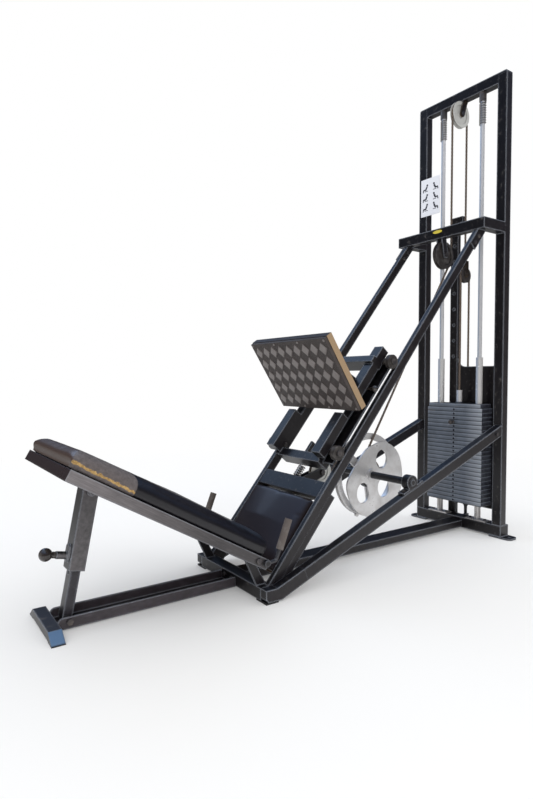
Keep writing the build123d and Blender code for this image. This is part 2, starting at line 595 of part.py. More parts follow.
def build_cam():
    """The silver cam plate, the large cable wheel and the shaft they share."""
    rim = Spline(*[(CAM[0] + x, CAM[1] + z) for x, z in CAM_OUTLINE], periodic=True)
    face = make_face(rim)
    for x, z, wide, tall in CAM_WINDOWS:
        face -= Pos(CAM[0] + x, CAM[1] + z) * Ellipse(wide, tall)
    plate = extrude(side_plane(-9) * face, amount=8)
    plate += disc(*CAM, 26, -24, -9)
    plate -= disc(*CAM, SHAFT_RADIUS + 0.05, -30, 0)
    keep("cam_plate", plate)
    floor = WHEEL_PITCH - CABLE_RADIUS - CABLE_GAP
    groove = CABLE_RADIUS - 0.8
    mouth = WHEEL_HALF - 1.2
    profile = [(floor - 16, -WHEEL_HALF), (WHEEL_RIM, -WHEEL_HALF), (WHEEL_RIM, -mouth), (floor, -groove),
               (floor, groove), (WHEEL_RIM, mouth), (WHEEL_RIM, WHEEL_HALF), (floor - 16, WHEEL_HALF)]
    wheel = Pos(CAM[0], WHEEL_Y, CAM[1]) * revolve(Plane.XY * Polygon(*profile, align=None), Axis.Y)
    wheel += disc(*CAM, 40, WHEEL_Y - 4.5, WHEEL_Y + 7.5)
    for angle in (3, 141, 278):
        wheel += Pos(CAM[0], WHEEL_Y, CAM[1]) * Rot(0, -angle, 0) * Pos(92, 0, 0) * Box(122, 8, 34)
    clamp = math.radians(CLAMP_ANGLE)
    reach = WHEEL_RIM + 3
    wheel += disc(CAM[0] + reach * math.cos(clamp), CAM[1] + reach * math.sin(clamp), 8,
                  WHEEL_Y - 4, WHEEL_Y + 7)
    wheel -= disc(*CAM, SHAFT_RADIUS + 0.05, 0, 60)
    keep("cable_wheel", wheel)
    shaft = disc(*CAM, SHAFT_RADIUS, -HALF_WIDTH - 4, HALF_WIDTH + 4)
    shaft += disc(*CAM, 15, -BRACE_INNER + 2, -24.1) + disc(*CAM, 15, 24, BRACE_INNER - 2)
    shaft += disc(*CAM, DRUM_PITCH - CABLE_RADIUS - CABLE_GAP, -8.9, 9.3)
    keep("cam_shaft", shaft)
    block = BRACE.location * (span(BEARING_ALONG - 58, BEARING_ALONG + 58, BRACE_INNER + 1, HALF_WIDTH - 1,
                                   RUN_GAP, 9))
    block += disc(*CAM, 29, BRACE_INNER + 1, HALF_WIDTH - 1)
    block -= BRACE.location * span(BEARING_ALONG - 80, BEARING_ALONG + 80, 190, 260, -60, RUN_GAP)
    block -= disc(*CAM, SHAFT_RADIUS + 0.05, 190, 260)
    block -= bearing_bolt_holes()
    keep("cam_bearings", block, mirrored(block))


def build_carriage():
    """The welded carriage: two side members, a lower plate and an upper tube."""
    side = span(CARRIAGE_LOW, CARRIAGE_HIGH, WEB_INNER, WEB_OUTER, 3, 78)
    side += span(CARRIAGE_LOW, CARRIAGE_HIGH, WEB_INNER, FLANGE_OUTER, 3, 9)
    side += span(CARRIAGE_LOW, CARRIAGE_HIGH, WEB_INNER, TUBE_OUTER, 40, 78)
    side -= span(730, 806, WEB_INNER - 1, TUBE_OUTER + 1, 42, 80)
    for t in ROLLER_TS:
        side -= disc(t, ROLLER_RADIUS + RUN_GAP, ROLLER_AXLE_RADIUS + 0.05, WEB_INNER - 1, WEB_OUTER + 1)
    side -= disc(*TILT_PIVOT, 8.05, WEB_INNER - 1, WEB_OUTER + 1)
    body = both(side)
    body += span(535, 570, -WEB_OUTER, WEB_OUTER, -25, 30)
    body += span(972, 1002, -TUBE_OUTER, TUBE_OUTER, 34, 90)
    lug_outline = [(569, 0), (635, 0), (635, -78), (ANCHOR_T, -78), (ANCHOR_T, -56), (569, -24)]
    body += side_plate(lug_outline, WHEEL_Y - 6, WHEEL_Y + 6)
    body -= disc(*TILT_PIN, 6.05, -WEB_OUTER - 1, -WEB_INNER + 1)
    keep("carriage_frame", RAIL.location * body)
    axles = []
    for t in ROLLER_TS:
        n = ROLLER_RADIUS + RUN_GAP
        axle = disc(t, n, ROLLER_AXLE_RADIUS, WEB_INNER - 4, RAIL_OUTER + 4)
        axle += disc(t, n, 10, WEB_OUTER, RAIL_INNER) + disc(t, n, 10, WEB_INNER - 8, WEB_INNER)
        axle += disc(t, n, 12, RAIL_OUTER, RAIL_OUTER + 6)
        axles += both(axle).solids()
    keep("roller_axles", *[RAIL.location * axle for axle in axles])
    for name, t in zip(("lower", "upper"), ROLLER_TS):
        roller = disc(t, ROLLER_RADIUS + RUN_GAP, ROLLER_RADIUS, RAIL_INNER + 0.5, RAIL_OUTER - 0.5)
        roller = chamfer(roller.edges(), 1.5)
        roller -= disc(t, ROLLER_RADIUS + RUN_GAP, ROLLER_AXLE_RADIUS + 0.05, RAIL_INNER, RAIL_OUTER)
        keep(f"{name}_roller_far", RAIL.location * roller)
        keep(f"{name}_roller_near", RAIL.location * mirrored(roller))


def build_footplate():
    """The footplate with its rubber mat, the bracket it tilts on and the knob that sets it."""
    lean = math.radians(PLATE_LEAN)
    up = (math.cos(lean), math.sin(lean))
    back = (math.sin(lean), -math.cos(lean))

    def corner(along, deep):
        return tuple(PLATE_FOOT[i] + along * up[i] + deep * back[i] for i in (0, 1))

    def slab(low, high, front, rear, half):
        outline = [corner(low, front), corner(high, front), corner(high, rear), corner(low, rear)]
        return side_plate(outline, -half, half)

    full = MAT_THICK + BOARD_THICK
    keep("footplate_mat", RAIL.location * slab(2, PLATE_LENGTH - 2, 0, MAT_THICK - RUN_GAP, PLATE_HALF - 2))
    board = slab(0, PLATE_LENGTH, MAT_THICK, full, PLATE_HALF)
    keep("footplate_board", RAIL.location * board)
    gap = full + RUN_GAP
    arm_outline = [(TILT_PIVOT[0] - 17, TILT_PIVOT[1] - 14), (TILT_PIN[0] + 16, TILT_PIN[1] - 24),
                   (TILT_PIN[0] + 18, TILT_PIN[1] + 26), corner(245, gap + 10), corner(245, gap),
                   corner(30, gap)]
    arm = side_plate(arm_outline, 106, 116)
    bracket = both(arm) + slab(60, 245, gap, gap + 6, 116)
    bracket += disc(*TILT_PIVOT, 8, -132, 132) + both(disc(*TILT_PIVOT, 14, WEB_OUTER + 0.5, WEB_OUTER + 7))
    radius = math.dist(TILT_PIVOT, TILT_PIN)
    start = math.degrees(math.atan2(TILT_PIN[1] - TILT_PIVOT[1], TILT_PIN[0] - TILT_PIVOT[0]))
    swing = TILT_RANGE + 1
    slot = SlotArc(CenterArc(TILT_PIVOT, radius, start - swing, 2 * swing), 12.2)
    bracket -= extrude(side_plane(-105) * slot, amount=12)
    keep("footplate_bracket", RAIL.location * bracket)
    x, z = TILT_PIN
    knob = disc(x, z, 6, -186, -108) + Pos(x, -190, z) * Sphere(13)
    keep("tilt_knob", RAIL.location * knob)


def build_backrest():
    """The long backrest with its pad and the two hand grips."""
    side = span(0, BACK_LENGTH, BACK_HALF - BACK_BAR, BACK_HALF, -BACK_DEPTH, 0)
    frame = both(side)
    frame += span(0, BACK_BAR, -BACK_HALF, BACK_HALF, -BACK_DEPTH, 0)
    frame += span(610, 610 + BACK_BAR, -BACK_HALF, BACK_HALF, -BACK_DEPTH, 0)
    u, w = POST_TOP_PIVOT
    frame += span(u - 36, u + 36, -BACK_HALF, BACK_HALF, -8, 0)
    lug = side_plate([(u - 22, -4), (u + 22, -4), (u + 14, w), (u - 14, w)], 32, 40)
    lug += disc(u, w, 14, 32, 40)
    frame += both(lug)
    frame -= disc(u, w, 6.7, -50, 50)
    frame -= both(disc(*BACK_HINGE, 6.05, BACK_HALF - BACK_BAR - 1, BACK_HALF + 1))
    frame -= both(disc(*GRIP_BOLT, 5.05, BACK_HALF - 20, BACK_HALF + 1))
    keep("backrest_frame", BACK.location * frame)
    pad = span(0, 706, -BACK_HALF + 4, BACK_HALF - 4, RUN_GAP, BACK_PAD_THICK)
    pad = fillet(pad.edges().group_by(Axis.Z)[-1] + pad.edges().filter_by(Axis.Z), 20)
    keep("backrest_pad", BACK.location * pad)
    rods = []
    grips = []
    y = BACK_HALF + 9
    for way in (-1, 1):
        bolt_x, bolt_z = point_on(BACK, *GRIP_BOLT)
        foot = (bolt_x, way * y, bolt_z)
        knee = (bolt_x + 36, way * y, bolt_z + 4)
        top = (GRIP_TOP[0], way * y, GRIP_TOP[1])
        way_up = Vector(*top) - Vector(*knee)
        start = Vector(*knee) + way_up * 0.27
        rod = rod_between(foot, knee, 6) + rod_between(knee, top, 6)
        rod += Pos(*knee) * Sphere(6) + rod_between((bolt_x, way * (BACK_HALF - 18), bolt_z), foot, 5)
        rod += rod_between((bolt_x, way * (BACK_HALF + 0.1), bolt_z), (bolt_x, way * (y + 7), bolt_z), 11)
        grip = rod_between(start, Vector(*top) + way_up.normalized() * 4, 12.5)
        grips.append(grip - rod_between(start, top, 6.05))
        rods.append(rod)
    keep("grip_rods", *rods)
    keep("hand_grips", *grips)


def build_post():
    """The telescopic post under the head end, with its pull pin."""
    tube = span(-15, 15, -20, 20, -8, INNER_TUBE_TOP) - span(-12, 12, -17, 17, -8, INNER_TUBE_TOP)
    tube += disc(0, 0, 14, -20, -17) + disc(0, 0, 14, 17, 20)
    tube -= disc(0, 0, 6.05, -30, 30)
    slot = Plane(origin=(-16, 0, PIN_ALONG_POST), x_dir=(0, 0, 1), z_dir=(1, 0, 0))
    tube -= extrude(slot * SlotOverall(116, 10.4), amount=6)
    keep("post_inner_tube", POST.location * tube)
    sleeve = span(-25, 25, -30, 30, 143, POST_LENGTH + 40)
    sleeve = fillet(sleeve.edges().filter_by(Axis.Z), 3)
    head_tilt = math.degrees(POST_LEAN) - BACK_ANGLE
    over = Rot(0, -head_tilt, 0) * span(-90, 90, -40, 40, 20, 120)
    sleeve -= Pos(0, 0, POST_LENGTH) * over
    sleeve -= span(-15.3, 15.3, -20.3, 20.3, 142, POST_LENGTH - 22)
    sleeve += disc(0, POST_LENGTH, 6, -44, 44) + both(disc(0, POST_LENGTH, 10, 40.4, 46))
    boss = span(-31, -25, -16, 16, PIN_ALONG_POST - 18, PIN_ALONG_POST + 34)
    sleeve += fillet(boss.edges().filter_by(Axis.X), 12)
    sleeve += rod_between((-62, 0, PIN_ALONG_POST), (-24, 0, PIN_ALONG_POST), 11.5)
    sleeve -= rod_between((-70, 0, PIN_ALONG_POST), (-14, 0, PIN_ALONG_POST), 5.05)
    keep("post_sleeve", POST.location * sleeve)
    pin = rod_between((-80, 0, PIN_ALONG_POST), (-8, 0, PIN_ALONG_POST), 5)
    pin += rod_between((-76, 0, PIN_ALONG_POST), (-63, 0, PIN_ALONG_POST), 10)
    pin += Pos(-91.5, 0, PIN_ALONG_POST) * Sphere(20)
    keep("post_pull_pin", POST.location * pin)


def build_tower_fittings():
    """The pierced post and guard behind the stack, and the instruction card."""
    back = TOWER_X + BASE_DEPTH
    post = span(back, back + 20, 48, 90, 12, PIERCED_POST_TOP)
    post += span(back, back + 20, 24, 90, PIERCED_POST_TOP - 30, PIERCED_POST_TOP)
    for index in range(8):
        post -= Pos(back, 69, 842 + 78 * index) * Rot(0, 90, 0) * Cylinder(7, 60)
    keep("pierced_post", post)
    guard = span(back + 1, back + 4, GUARD_NEAR, GUARD_FAR, 60, GUARD_TOP + GUARD_FLARE)
    hollow = span(back, back + 5, GUARD_NEAR + 6, GUARD_FAR - 6, GUARD_TOP, GUARD_TOP + 2 * GUARD_FLARE)
    guard -= fillet(hollow.edges().filter_by(Axis.X).group_by(Axis.Z)[0], GUARD_FLARE - 2)
    for y0, y1 in ((-180, -18), (-2, 40)):
        window = span(back, back + 5, y0, y1, 40, 112)
        guard -= fillet(window.edges().filter_by(Axis.X).group_by(Axis.Z)[-1], 18)
    for z in (200, 700):
        guard += span(TOWER_X + UPRIGHT_DEPTH, back + 2, GUARD_NEAR, GUARD_NEAR + 4, z, z + 30)
    keep("stack_guard", guard)
    keep("instruction_card", span(TOWER_X - 2, TOWER_X - 0.1, 113, 228, 1553, 1738))


build_tower()
build_tower_base()
build_braces()
build_floor_frame()
build_rails()
build_seat()
build_bolts()
build_guide_rods()
build_stack()
build_pulleys()
build_cables()
build_cam()
build_carriage()
build_footplate()
build_backrest()
build_post()
build_tower_fittings()
print(len(parts), "nodes")
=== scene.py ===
import json
import math

import bpy
from mathutils import Matrix, Vector, noise


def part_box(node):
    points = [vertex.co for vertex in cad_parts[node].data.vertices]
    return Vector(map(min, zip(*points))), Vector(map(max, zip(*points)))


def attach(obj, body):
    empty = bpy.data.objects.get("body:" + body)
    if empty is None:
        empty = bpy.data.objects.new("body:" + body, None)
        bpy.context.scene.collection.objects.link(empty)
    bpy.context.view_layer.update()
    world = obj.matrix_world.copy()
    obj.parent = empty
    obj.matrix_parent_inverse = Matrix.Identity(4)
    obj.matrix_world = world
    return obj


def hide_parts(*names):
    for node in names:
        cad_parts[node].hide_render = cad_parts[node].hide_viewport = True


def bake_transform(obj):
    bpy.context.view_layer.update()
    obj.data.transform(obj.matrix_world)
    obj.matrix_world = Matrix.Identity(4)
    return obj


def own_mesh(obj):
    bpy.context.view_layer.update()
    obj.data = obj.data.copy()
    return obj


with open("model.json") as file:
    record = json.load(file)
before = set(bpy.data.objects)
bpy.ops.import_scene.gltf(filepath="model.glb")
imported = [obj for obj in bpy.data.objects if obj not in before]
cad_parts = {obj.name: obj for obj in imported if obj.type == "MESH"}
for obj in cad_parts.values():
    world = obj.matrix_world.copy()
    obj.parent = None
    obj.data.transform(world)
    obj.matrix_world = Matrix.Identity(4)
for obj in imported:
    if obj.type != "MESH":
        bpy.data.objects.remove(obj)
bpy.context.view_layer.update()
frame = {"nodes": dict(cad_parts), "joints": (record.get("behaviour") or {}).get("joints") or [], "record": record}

# Lengths are in metres
NODES = frame["nodes"]
BACK_TILT = math.radians(29.83)     # the backrest's slope
PLATE_PITCH = 0.02                  # from one weight plate to the next

# Camera: where it stands, where it looks and how wide it sees, for a 533 x 799 image
CAMERA_PLACE = Vector((-1.3796, -1.7031, 0.7442))
CAMERA_YAW = math.radians(55.78)
CAMERA_PITCH = math.radians(-2.71)
CAMERA_ROLL = math.radians(-0.29)
CAMERA_LENS = 25.065
CAMERA_SHIFT = (0.0053, 0.0046)


# ---------------------------------------------------------------- shader helpers

def new_material(name):
    """A material with only a Principled surface, and the tree to add to."""
    material = bpy.data.materials.new(name)
    material.use_nodes = True
    tree = material.node_tree
    return material, tree, tree.nodes["Principled BSDF"]


def add(tree, kind, settings=None, **inputs):
    """Adds a node; inputs are given by socket name with underscores for spaces."""
    node = tree.nodes.new(kind)
    for key, value in (settings or {}).items():
        setattr(node, key, value)
    for key, value in inputs.items():
        socket = node.inputs[key.replace("_", " ")]
        feed(tree, socket, value)
    return node


def feed(tree, socket, value):
    """Links a socket, or sets its value."""
    if isinstance(value, bpy.types.NodeSocket):
        tree.links.new(value, socket)
    else:
        socket.default_value = value


def place(tree):
    """The point being shaded, in the machine's frame at rest."""
    return add(tree, "ShaderNodeTexCoord").outputs["Object"]


def stretched(tree, scale, turn=(0, 0, 0)):
    """Object coordinates turned, then stretched."""
    turned = add(tree, "ShaderNodeMapping", Vector=place(tree), Rotation=turn).outputs[0]
    return add(tree, "ShaderNodeMapping", Vector=turned, Scale=scale).outputs[0]


def noise_at(tree, vector, scale, detail=3.0, rough=0.55):
    """Soft noise from 0 to 1."""
    node = add(tree, "ShaderNodeTexNoise", Vector=vector, Scale=scale, Detail=detail, Roughness=rough)
    return node.outputs["Fac"]


def ramp(tree, value, stops):
    """A colour ramp; each stop is a position and a grey or a colour."""
    node = add(tree, "ShaderNodeValToRGB", Fac=value)
    elements = node.color_ramp.elements
    while len(elements) < len(stops):
        elements.new(0.5)
    for element, (position, colour) in zip(elements, stops):
        element.position = position
        element.color = colour if len(colour) == 4 else (*colour, 1)
    return node.outputs["Color"]


def grey(value):
    """A colour with equal red, green and blue."""
    return (value, value, value)


def calc(tree, kind, first, second=0.5):
    """One step of arithmetic on values."""
    node = tree.nodes.new("ShaderNodeMath")
    node.operation = kind
    feed(tree, node.inputs[0], first)
    feed(tree, node.inputs[1], second)
    return node.outputs[0]


def blend_colours(tree, amount, first, second):
    """The first colour where the amount is 0 and the second where it is 1."""
    node = tree.nodes.new("ShaderNodeMix")
    node.data_type = "RGBA"
    feed(tree, node.inputs["Factor"], amount)
    feed(tree, node.inputs[6], first if not isinstance(first, tuple) else (*first, 1)[:4])
    feed(tree, node.inputs[7], second if not isinstance(second, tuple) else (*second, 1)[:4])
    return node.outputs[2]


def bump(tree, surface, height, strength, distance, normal=None):
    """Gives a surface fine relief from a height."""
    node = add(tree, "ShaderNodeBump", Height=height, Strength=strength, Distance=distance)
    if normal is not None:
        tree.links.new(normal, node.inputs["Normal"])
    tree.links.new(node.outputs[0], surface.inputs["Normal"])


def edge_mask(tree, radius, low=0.90, high=0.998):
    """White along sharp edges, and the rounded normal that goes with it."""
    rounded = add(tree, "ShaderNodeBevel", {"samples": 4}, Radius=radius).outputs[0]
    flat = add(tree, "ShaderNodeNewGeometry").outputs["Normal"]
    dot = add(tree, "ShaderNodeVectorMath", {"operation": "DOT_PRODUCT"})
    tree.links.new(rounded, dot.inputs[0])
    tree.links.new(flat, dot.inputs[1])
    return ramp(tree, dot.outputs["Value"], [(low, grey(1)), (high, grey(0))]), rounded


# ---------------------------------------------------------------- materials

def facing(tree, axis, low=0.80, high=0.97):
    """White on faces that look along an axis of the machine, such as (0, -1, 0)."""
    dot = add(tree, "ShaderNodeVectorMath", {"operation": "DOT_PRODUCT"})
    tree.links.new(add(tree, "ShaderNodeTexCoord").outputs["Normal"], dot.inputs[0])
    dot.inputs[1].default_value = axis
    return ramp(tree, dot.outputs["Value"], [(low, grey(0)), (high, grey(1))])


def painted_steel(name, base, edge_wear_and_gleam=0.85, along=(1, 1, 1), turn=(0, 0, 0), rough=0.32, speckle=0.0,
                  near_sheen=(0.020, 0.017, 0.019), near_sheen_share=0.9, sheen_fade_along=None):
    """Old semi-gloss enamel: cloudy gloss, scratches, worn corners that also carry a painted highlight, and
    painted sheen on the near faces.
    """
    material, tree, surface = new_material(name)
    spot = place(tree)
    cloud = noise_at(tree, spot, 9, 4)
    scratch = noise_at(tree, stretched(tree, along, turn), 60, 2, 0.7)
    lines = ramp(tree, scratch, [(0.60, grey(0)), (0.72, grey(1))])
    chips = ramp(tree, noise_at(tree, spot, 55, 5, 0.7), [(0.60, grey(0)), (0.68, grey(1))])
    # the pale blue-grey laid on sharp edges is worn paint and a painted highlight together
    worn, rounded = edge_mask(tree, 0.0070)
    bare = calc(tree, "MULTIPLY", worn, calc(tree, "ADD", calc(tree, "MULTIPLY", chips, 0.45), 0.5))
    near_face = facing(tree, (0, -1, 0))
    dark = blend_colours(tree, cloud, tuple(c * 0.72 for c in base), tuple(c * 1.35 for c in base))
    dust_and_sheen = blend_colours(tree, calc(tree, "MULTIPLY", lines, 0.18), dark, (0.30, 0.27, 0.25))
    if speckle:
        hammer = ramp(tree, noise_at(tree, spot, 260, 2, 0.6), [(0.42, grey(0)), (0.62, grey(1))])
        # the hammered speckle is kept mostly to the near face, where it catches the light: partly painted glints
        mostly_near = calc(tree, "ADD", calc(tree, "MULTIPLY", near_face, 0.85), 0.15)
        hammer = calc(tree, "MULTIPLY", hammer, mostly_near)
        dust_and_sheen = blend_colours(tree, calc(tree, "MULTIPLY", hammer, speckle), dust_and_sheen, (0.30, 0.29, 0.28))
    mottle = calc(tree, "ADD", calc(tree, "MULTIPLY", cloud, 0.6), calc(tree, "MULTIPLY", scratch, 1.1))
    streaky = calc(tree, "SUBTRACT", mottle, 0.08)
    # painted sheen: the near faces take a paler, streaky colour for the light they reflect, fading along x where
    # asked
    near = calc(tree, "MULTIPLY", near_face, calc(tree, "MULTIPLY", streaky, near_sheen_share))
    if sheen_fade_along:
        x = add(tree, "ShaderNodeSeparateXYZ", Vector=spot).outputs["X"]
        share = add(tree, "ShaderNodeMapRange", Value=x, From_Min=sheen_fade_along[0], From_Max=sheen_fade_along[1],
                    To_Min=1.0, To_Max=0.28).outputs[0]
        near = calc(tree, "MULTIPLY", near, share)
    dust_and_sheen = blend_colours(tree, near, dust_and_sheen, near_sheen)
    colour = blend_colours(tree, calc(tree, "MULTIPLY", bare, edge_wear_and_gleam), dust_and_sheen, (0.56, 0.60, 0.68))
    feed(tree, surface.inputs["Base Color"], colour)
    gloss = calc(tree, "ADD", calc(tree, "MULTIPLY", cloud, 0.22), rough - 0.10)
    feed(tree, surface.inputs["Roughness"], calc(tree, "ADD", gloss, calc(tree, "MULTIPLY", lines, 0.12)))
    surface.inputs["Specular IOR Level"].default_value = 0.42
    surface.inputs["Coat Weight"].default_value = 0.12
    surface.inputs["Coat Roughness"].default_value = 0.12
    grain = calc(tree, "ADD", calc(tree, "MULTIPLY", noise_at(tree, spot, 320, 2), 0.5), scratch)
    bump(tree, surface, grain, 0.08 + speckle, 0.0006, rounded)
    return material


def tint_facing(material, axis, colour, share=1.0, low=0.80, high=0.97):
    """Blends a colour into the faces of a material that look along an axis."""
    tree = material.node_tree
    socket = tree.nodes["Principled BSDF"].inputs["Base Color"]
    amount = calc(tree, "MULTIPLY", facing(tree, axis, low, high), share)
    feed(tree, socket, blend_colours(tree, amount, socket.links[0].from_socket, colour))
    return material


def bright_metal(name, base, rough=0.12, streak=(1, 1, 40), tint=(0.5, 0.42, 0.35), dirt=0.15,
                 metal=1.0, relief=0.05, uneven=0.16):
    """Plated or turned steel: long fine streaks and a little brown in the hollows."""
    material, tree, surface = new_material(name)
    spot = place(tree)
    streaks = noise_at(tree, stretched(tree, streak), 90, 3)
    patch = ramp(tree, noise_at(tree, spot, 22, 5, 0.65), [(0.45, grey(0)), (0.7, grey(1))])
    _, rounded = edge_mask(tree, 0.0012)
    colour = blend_colours(tree, calc(tree, "MULTIPLY", patch, dirt), base, tint)
    feed(tree, surface.inputs["Base Color"], colour)
    surface.inputs["Metallic"].default_value = metal
    spread = calc(tree, "ADD", calc(tree, "MULTIPLY", streaks, uneven), rough - uneven / 2)
    feed(tree, surface.inputs["Roughness"], calc(tree, "ADD", spread, calc(tree, "MULTIPLY", patch, dirt)))
    if relief:
        bump(tree, surface, streaks, relief, 0.0003, rounded)
    return material


def plating(name, base, rough, dirt):
    """Smooth chrome on round bars, with a painted reflection: blue to the left of the camera's view, brown to the
    right.
    """
    material = bright_metal(name, base, rough, (1, 1, 0.05), dirt=dirt, metal=0.45, relief=0, uneven=0.0)
    left = (-math.sin(CAMERA_YAW), math.cos(CAMERA_YAW), 0)
    right = (math.sin(CAMERA_YAW), -math.cos(CAMERA_YAW), 0)
    tint_facing(material, left, (0.36, 0.46, 0.64), 0.8, 0.45, 0.95)
    return tint_facing(material, right, (0.22, 0.15, 0.11), 0.8, 0.60, 0.98)


def twisted_steel():
    """Brown steel rope: pale strands with painted shade in the grooves between them."""
    material = bright_metal("rope", (0.36, 0.28, 0.22), 0.4, (1, 1, 1), (0.20, 0.14, 0.10), 0.6, metal=0.6)
    tree = material.node_tree
    socket = tree.nodes["Principled BSDF"].inputs["Base Color"]
    strand = add(tree, "ShaderNodeAttribute", {"attribute_name": "strand"}).outputs["Fac"]
    # painted shade darkens the grooves between strands
    groove = ramp(tree, strand, [(0.25, grey(1)), (0.75, grey(0))])
    feed(tree, socket, blend_colours(tree, groove, socket.links[0].from_socket, (0.022, 0.015, 0.012)))
    return material


def moulded(name, base, rough=0.35, grain=0.1, scale=180, dust=0.12, coat=0.0):
    """Moulded plastic or rubber: fine grain, scuffs and grey dust."""
    material, tree, surface = new_material(name)
    spot = place(tree)
    fine = noise_at(tree, spot, scale, 3)
    scuff = ramp(tree, noise_at(tree, spot, 30, 5, 0.7), [(0.5, grey(0)), (0.72, grey(1))])
    colour = blend_colours(tree, calc(tree, "MULTIPLY", scuff, dust), base, (0.34, 0.32, 0.31))
    feed(tree, surface.inputs["Base Color"], colour)
    feed(tree, surface.inputs["Roughness"], calc(tree, "ADD", calc(tree, "MULTIPLY", scuff, 0.2), rough))
    surface.inputs["Coat Weight"].default_value = coat
    _, rounded = edge_mask(tree, 0.0012)
    bump(tree, surface, fine, grain, 0.0005, rounded)
    return material


def wood(name, pale, dark, painted=None):
    """Board with long grain and, where asked, paint on all but its near face."""
    material, tree, surface = new_material(name)
    grain = noise_at(tree, stretched(tree, (18, 1.2, 18)), 14, 5, 0.6)
    colour = blend_colours(tree, grain, dark, pale)
    if painted:
        bare = facing(tree, (0, -1, 0), 0.85, 0.95)
        colour = blend_colours(tree, bare, painted, colour)
    feed(tree, surface.inputs["Base Color"], colour)
    surface.inputs["Roughness"].default_value = 0.55
    bump(tree, surface, grain, 0.12, 0.0006)
    return material


def stack_paint():
    """Slate grey plates: a painted highlight along the upper edge of each plate, painted shade in the gap under
    it, and a painted glint on the front faces near the near corner.
    """
    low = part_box("lower_weight_plates")[0].z
    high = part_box("lifted_weight_plates")[1].z
    pitch = (high - low) / round((high - low) / PLATE_PITCH)
    material = painted_steel("plate_grey", (0.10, 0.118, 0.15), 0.3, (1, 0.2, 1), rough=0.42,
                             near_sheen=(0.012, 0.011, 0.02), near_sheen_share=1.0)
    tree = material.node_tree
    surface = tree.nodes["Principled BSDF"]
    height = add(tree, "ShaderNodeSeparateXYZ", Vector=place(tree)).outputs["Z"]
    share = calc(tree, "FRACT", calc(tree, "DIVIDE", calc(tree, "SUBTRACT", height, low), pitch))
    # painted light on each plate: shade in the gaps at its edges and a highlight along its upper edge
    lines = ramp(tree, share, [(0.0, grey(0.10)), (0.10, grey(0.35)), (0.24, grey(0.85)), (0.62, grey(1.0)),
                               (0.86, grey(1.5)), (0.95, grey(0.9)), (1.0, grey(0.1))])
    patchy = calc(tree, "ADD", calc(tree, "MULTIPLY", noise_at(tree, place(tree), 14, 4, 0.7), 0.8), 0.6)
    before = surface.inputs["Base Color"].links[0].from_socket
    scaled = add(tree, "ShaderNodeVectorMath", {"operation": "MULTIPLY"})
    tree.links.new(before, scaled.inputs[0])
    tree.links.new(lines, scaled.inputs[1])
    again = add(tree, "ShaderNodeVectorMath", {"operation": "SCALE"})
    tree.links.new(scaled.outputs[0], again.inputs[0])
    tree.links.new(patchy, again.inputs["Scale"])
    # a painted glint on the front faces near the near corner
    near_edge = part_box("lower_weight_plates")[0].y
    across = add(tree, "ShaderNodeSeparateXYZ", Vector=place(tree)).outputs["Y"]
    corner = add(tree, "ShaderNodeMapRange", Value=across, From_Min=near_edge, From_Max=near_edge + 0.09,
                 To_Min=0.6, To_Max=0.0).outputs[0]
    corner_glint = calc(tree, "MULTIPLY", corner, facing(tree, (-1, 0, 0)))
    shine = blend_colours(tree, calc(tree, "MULTIPLY", corner_glint, lines), again.outputs[0], (0.42, 0.45, 0.50))
    tree.links.new(shine, surface.inputs["Base Color"])
    return material


BLACK = (0.0065, 0.0055, 0.0068)
MATERIALS = {
    "black_paint": painted_steel("black_paint", BLACK),
    "chrome_steel": plating("chrome_steel", (0.88, 0.89, 0.92), 0.22, 0.03),
    "silver_paint": bright_metal("silver_paint", (0.80, 0.79, 0.79), 0.3, (1, 1, 1),
                                 (0.42, 0.36, 0.30), 0.22, metal=0.65),
    "plate_grey": stack_paint(),
    "zinc_steel": bright_metal("zinc_steel", (0.62, 0.60, 0.59), 0.28, (1, 1, 0.2), dirt=0.35, metal=0.8),
    "brown_steel": bright_metal("brown_steel", (0.16, 0.12, 0.09), 0.4, (1, 1, 1), dirt=0.5),
    "rope": twisted_steel(),
    "pale_nylon": moulded("pale_nylon", (0.50, 0.50, 0.48), 0.38, dust=0.3),
    "black_nylon": moulded("black_nylon", (0.035, 0.03, 0.028), 0.36, dust=0.25),
    "knob_black": moulded("knob_black", (0.03, 0.024, 0.022), 0.16, 0.02, 60, 0.3, 0.6),
    "black_rubber": moulded("black_rubber", (0.02, 0.02, 0.02), 0.6, 0.3),
    "black_vinyl": moulded("black_vinyl", (0.012, 0.011, 0.013), 0.3, 0.12, 420, 0.03, 0.3),
    "seat_vinyl": moulded("seat_vinyl", (0.014, 0.011, 0.011), 0.36, 0.12, 420, 0.03, 0.15),
    "plywood": wood("plywood", (0.44, 0.30, 0.17), (0.24, 0.16, 0.09), painted=(0.035, 0.026, 0.024)),
    "seat_wood": wood("seat_wood", (0.13, 0.08, 0.05), (0.06, 0.035, 0.02)),
    "mat_rubber": moulded("mat_rubber", (0.10, 0.09, 0.085), 0.45, 0.3, 260, 0.4),
    "card": moulded("card", (0.80, 0.82, 0.88), 0.3, 0.02, 60, 0.02),
}


def backrest_paint():
    """Black enamel with a streaky painted grey reflection on the near bar, fading to black down the slope, and a
    brown end face.
    """
    material = painted_steel("backrest_bar", BLACK, 0.7, (0.4, 1, 14), (0, -BACK_TILT, 0), 0.3,
                             near_sheen=(0.23, 0.21, 0.215), near_sheen_share=1.0, sheen_fade_along=(-0.98, -0.55))
    return tint_facing(material, (-math.cos(BACK_TILT), 0, math.sin(BACK_TILT)), (0.034, 0.023, 0.024))


# direction of the foot bar's bevel, which gets a painted sky-blue reflection
FOOT_BEVEL = (0, -0.58, 0.81)       # the way the bevel of the foot bar looks


def channel_paint():
    """Black channel with painted sheen on its near faces and a painted sky-blue reflection on the bevel of its
    foot bar.
    """
    material = painted_steel("channel_paint", (0.014, 0.010, 0.010), 0.9, (0.4, 1, 1),
                             near_sheen=(0.07, 0.06, 0.07))
    return tint_facing(material, FOOT_BEVEL, (0.112, 0.202, 0.352), 0.9, 0.93, 0.99)


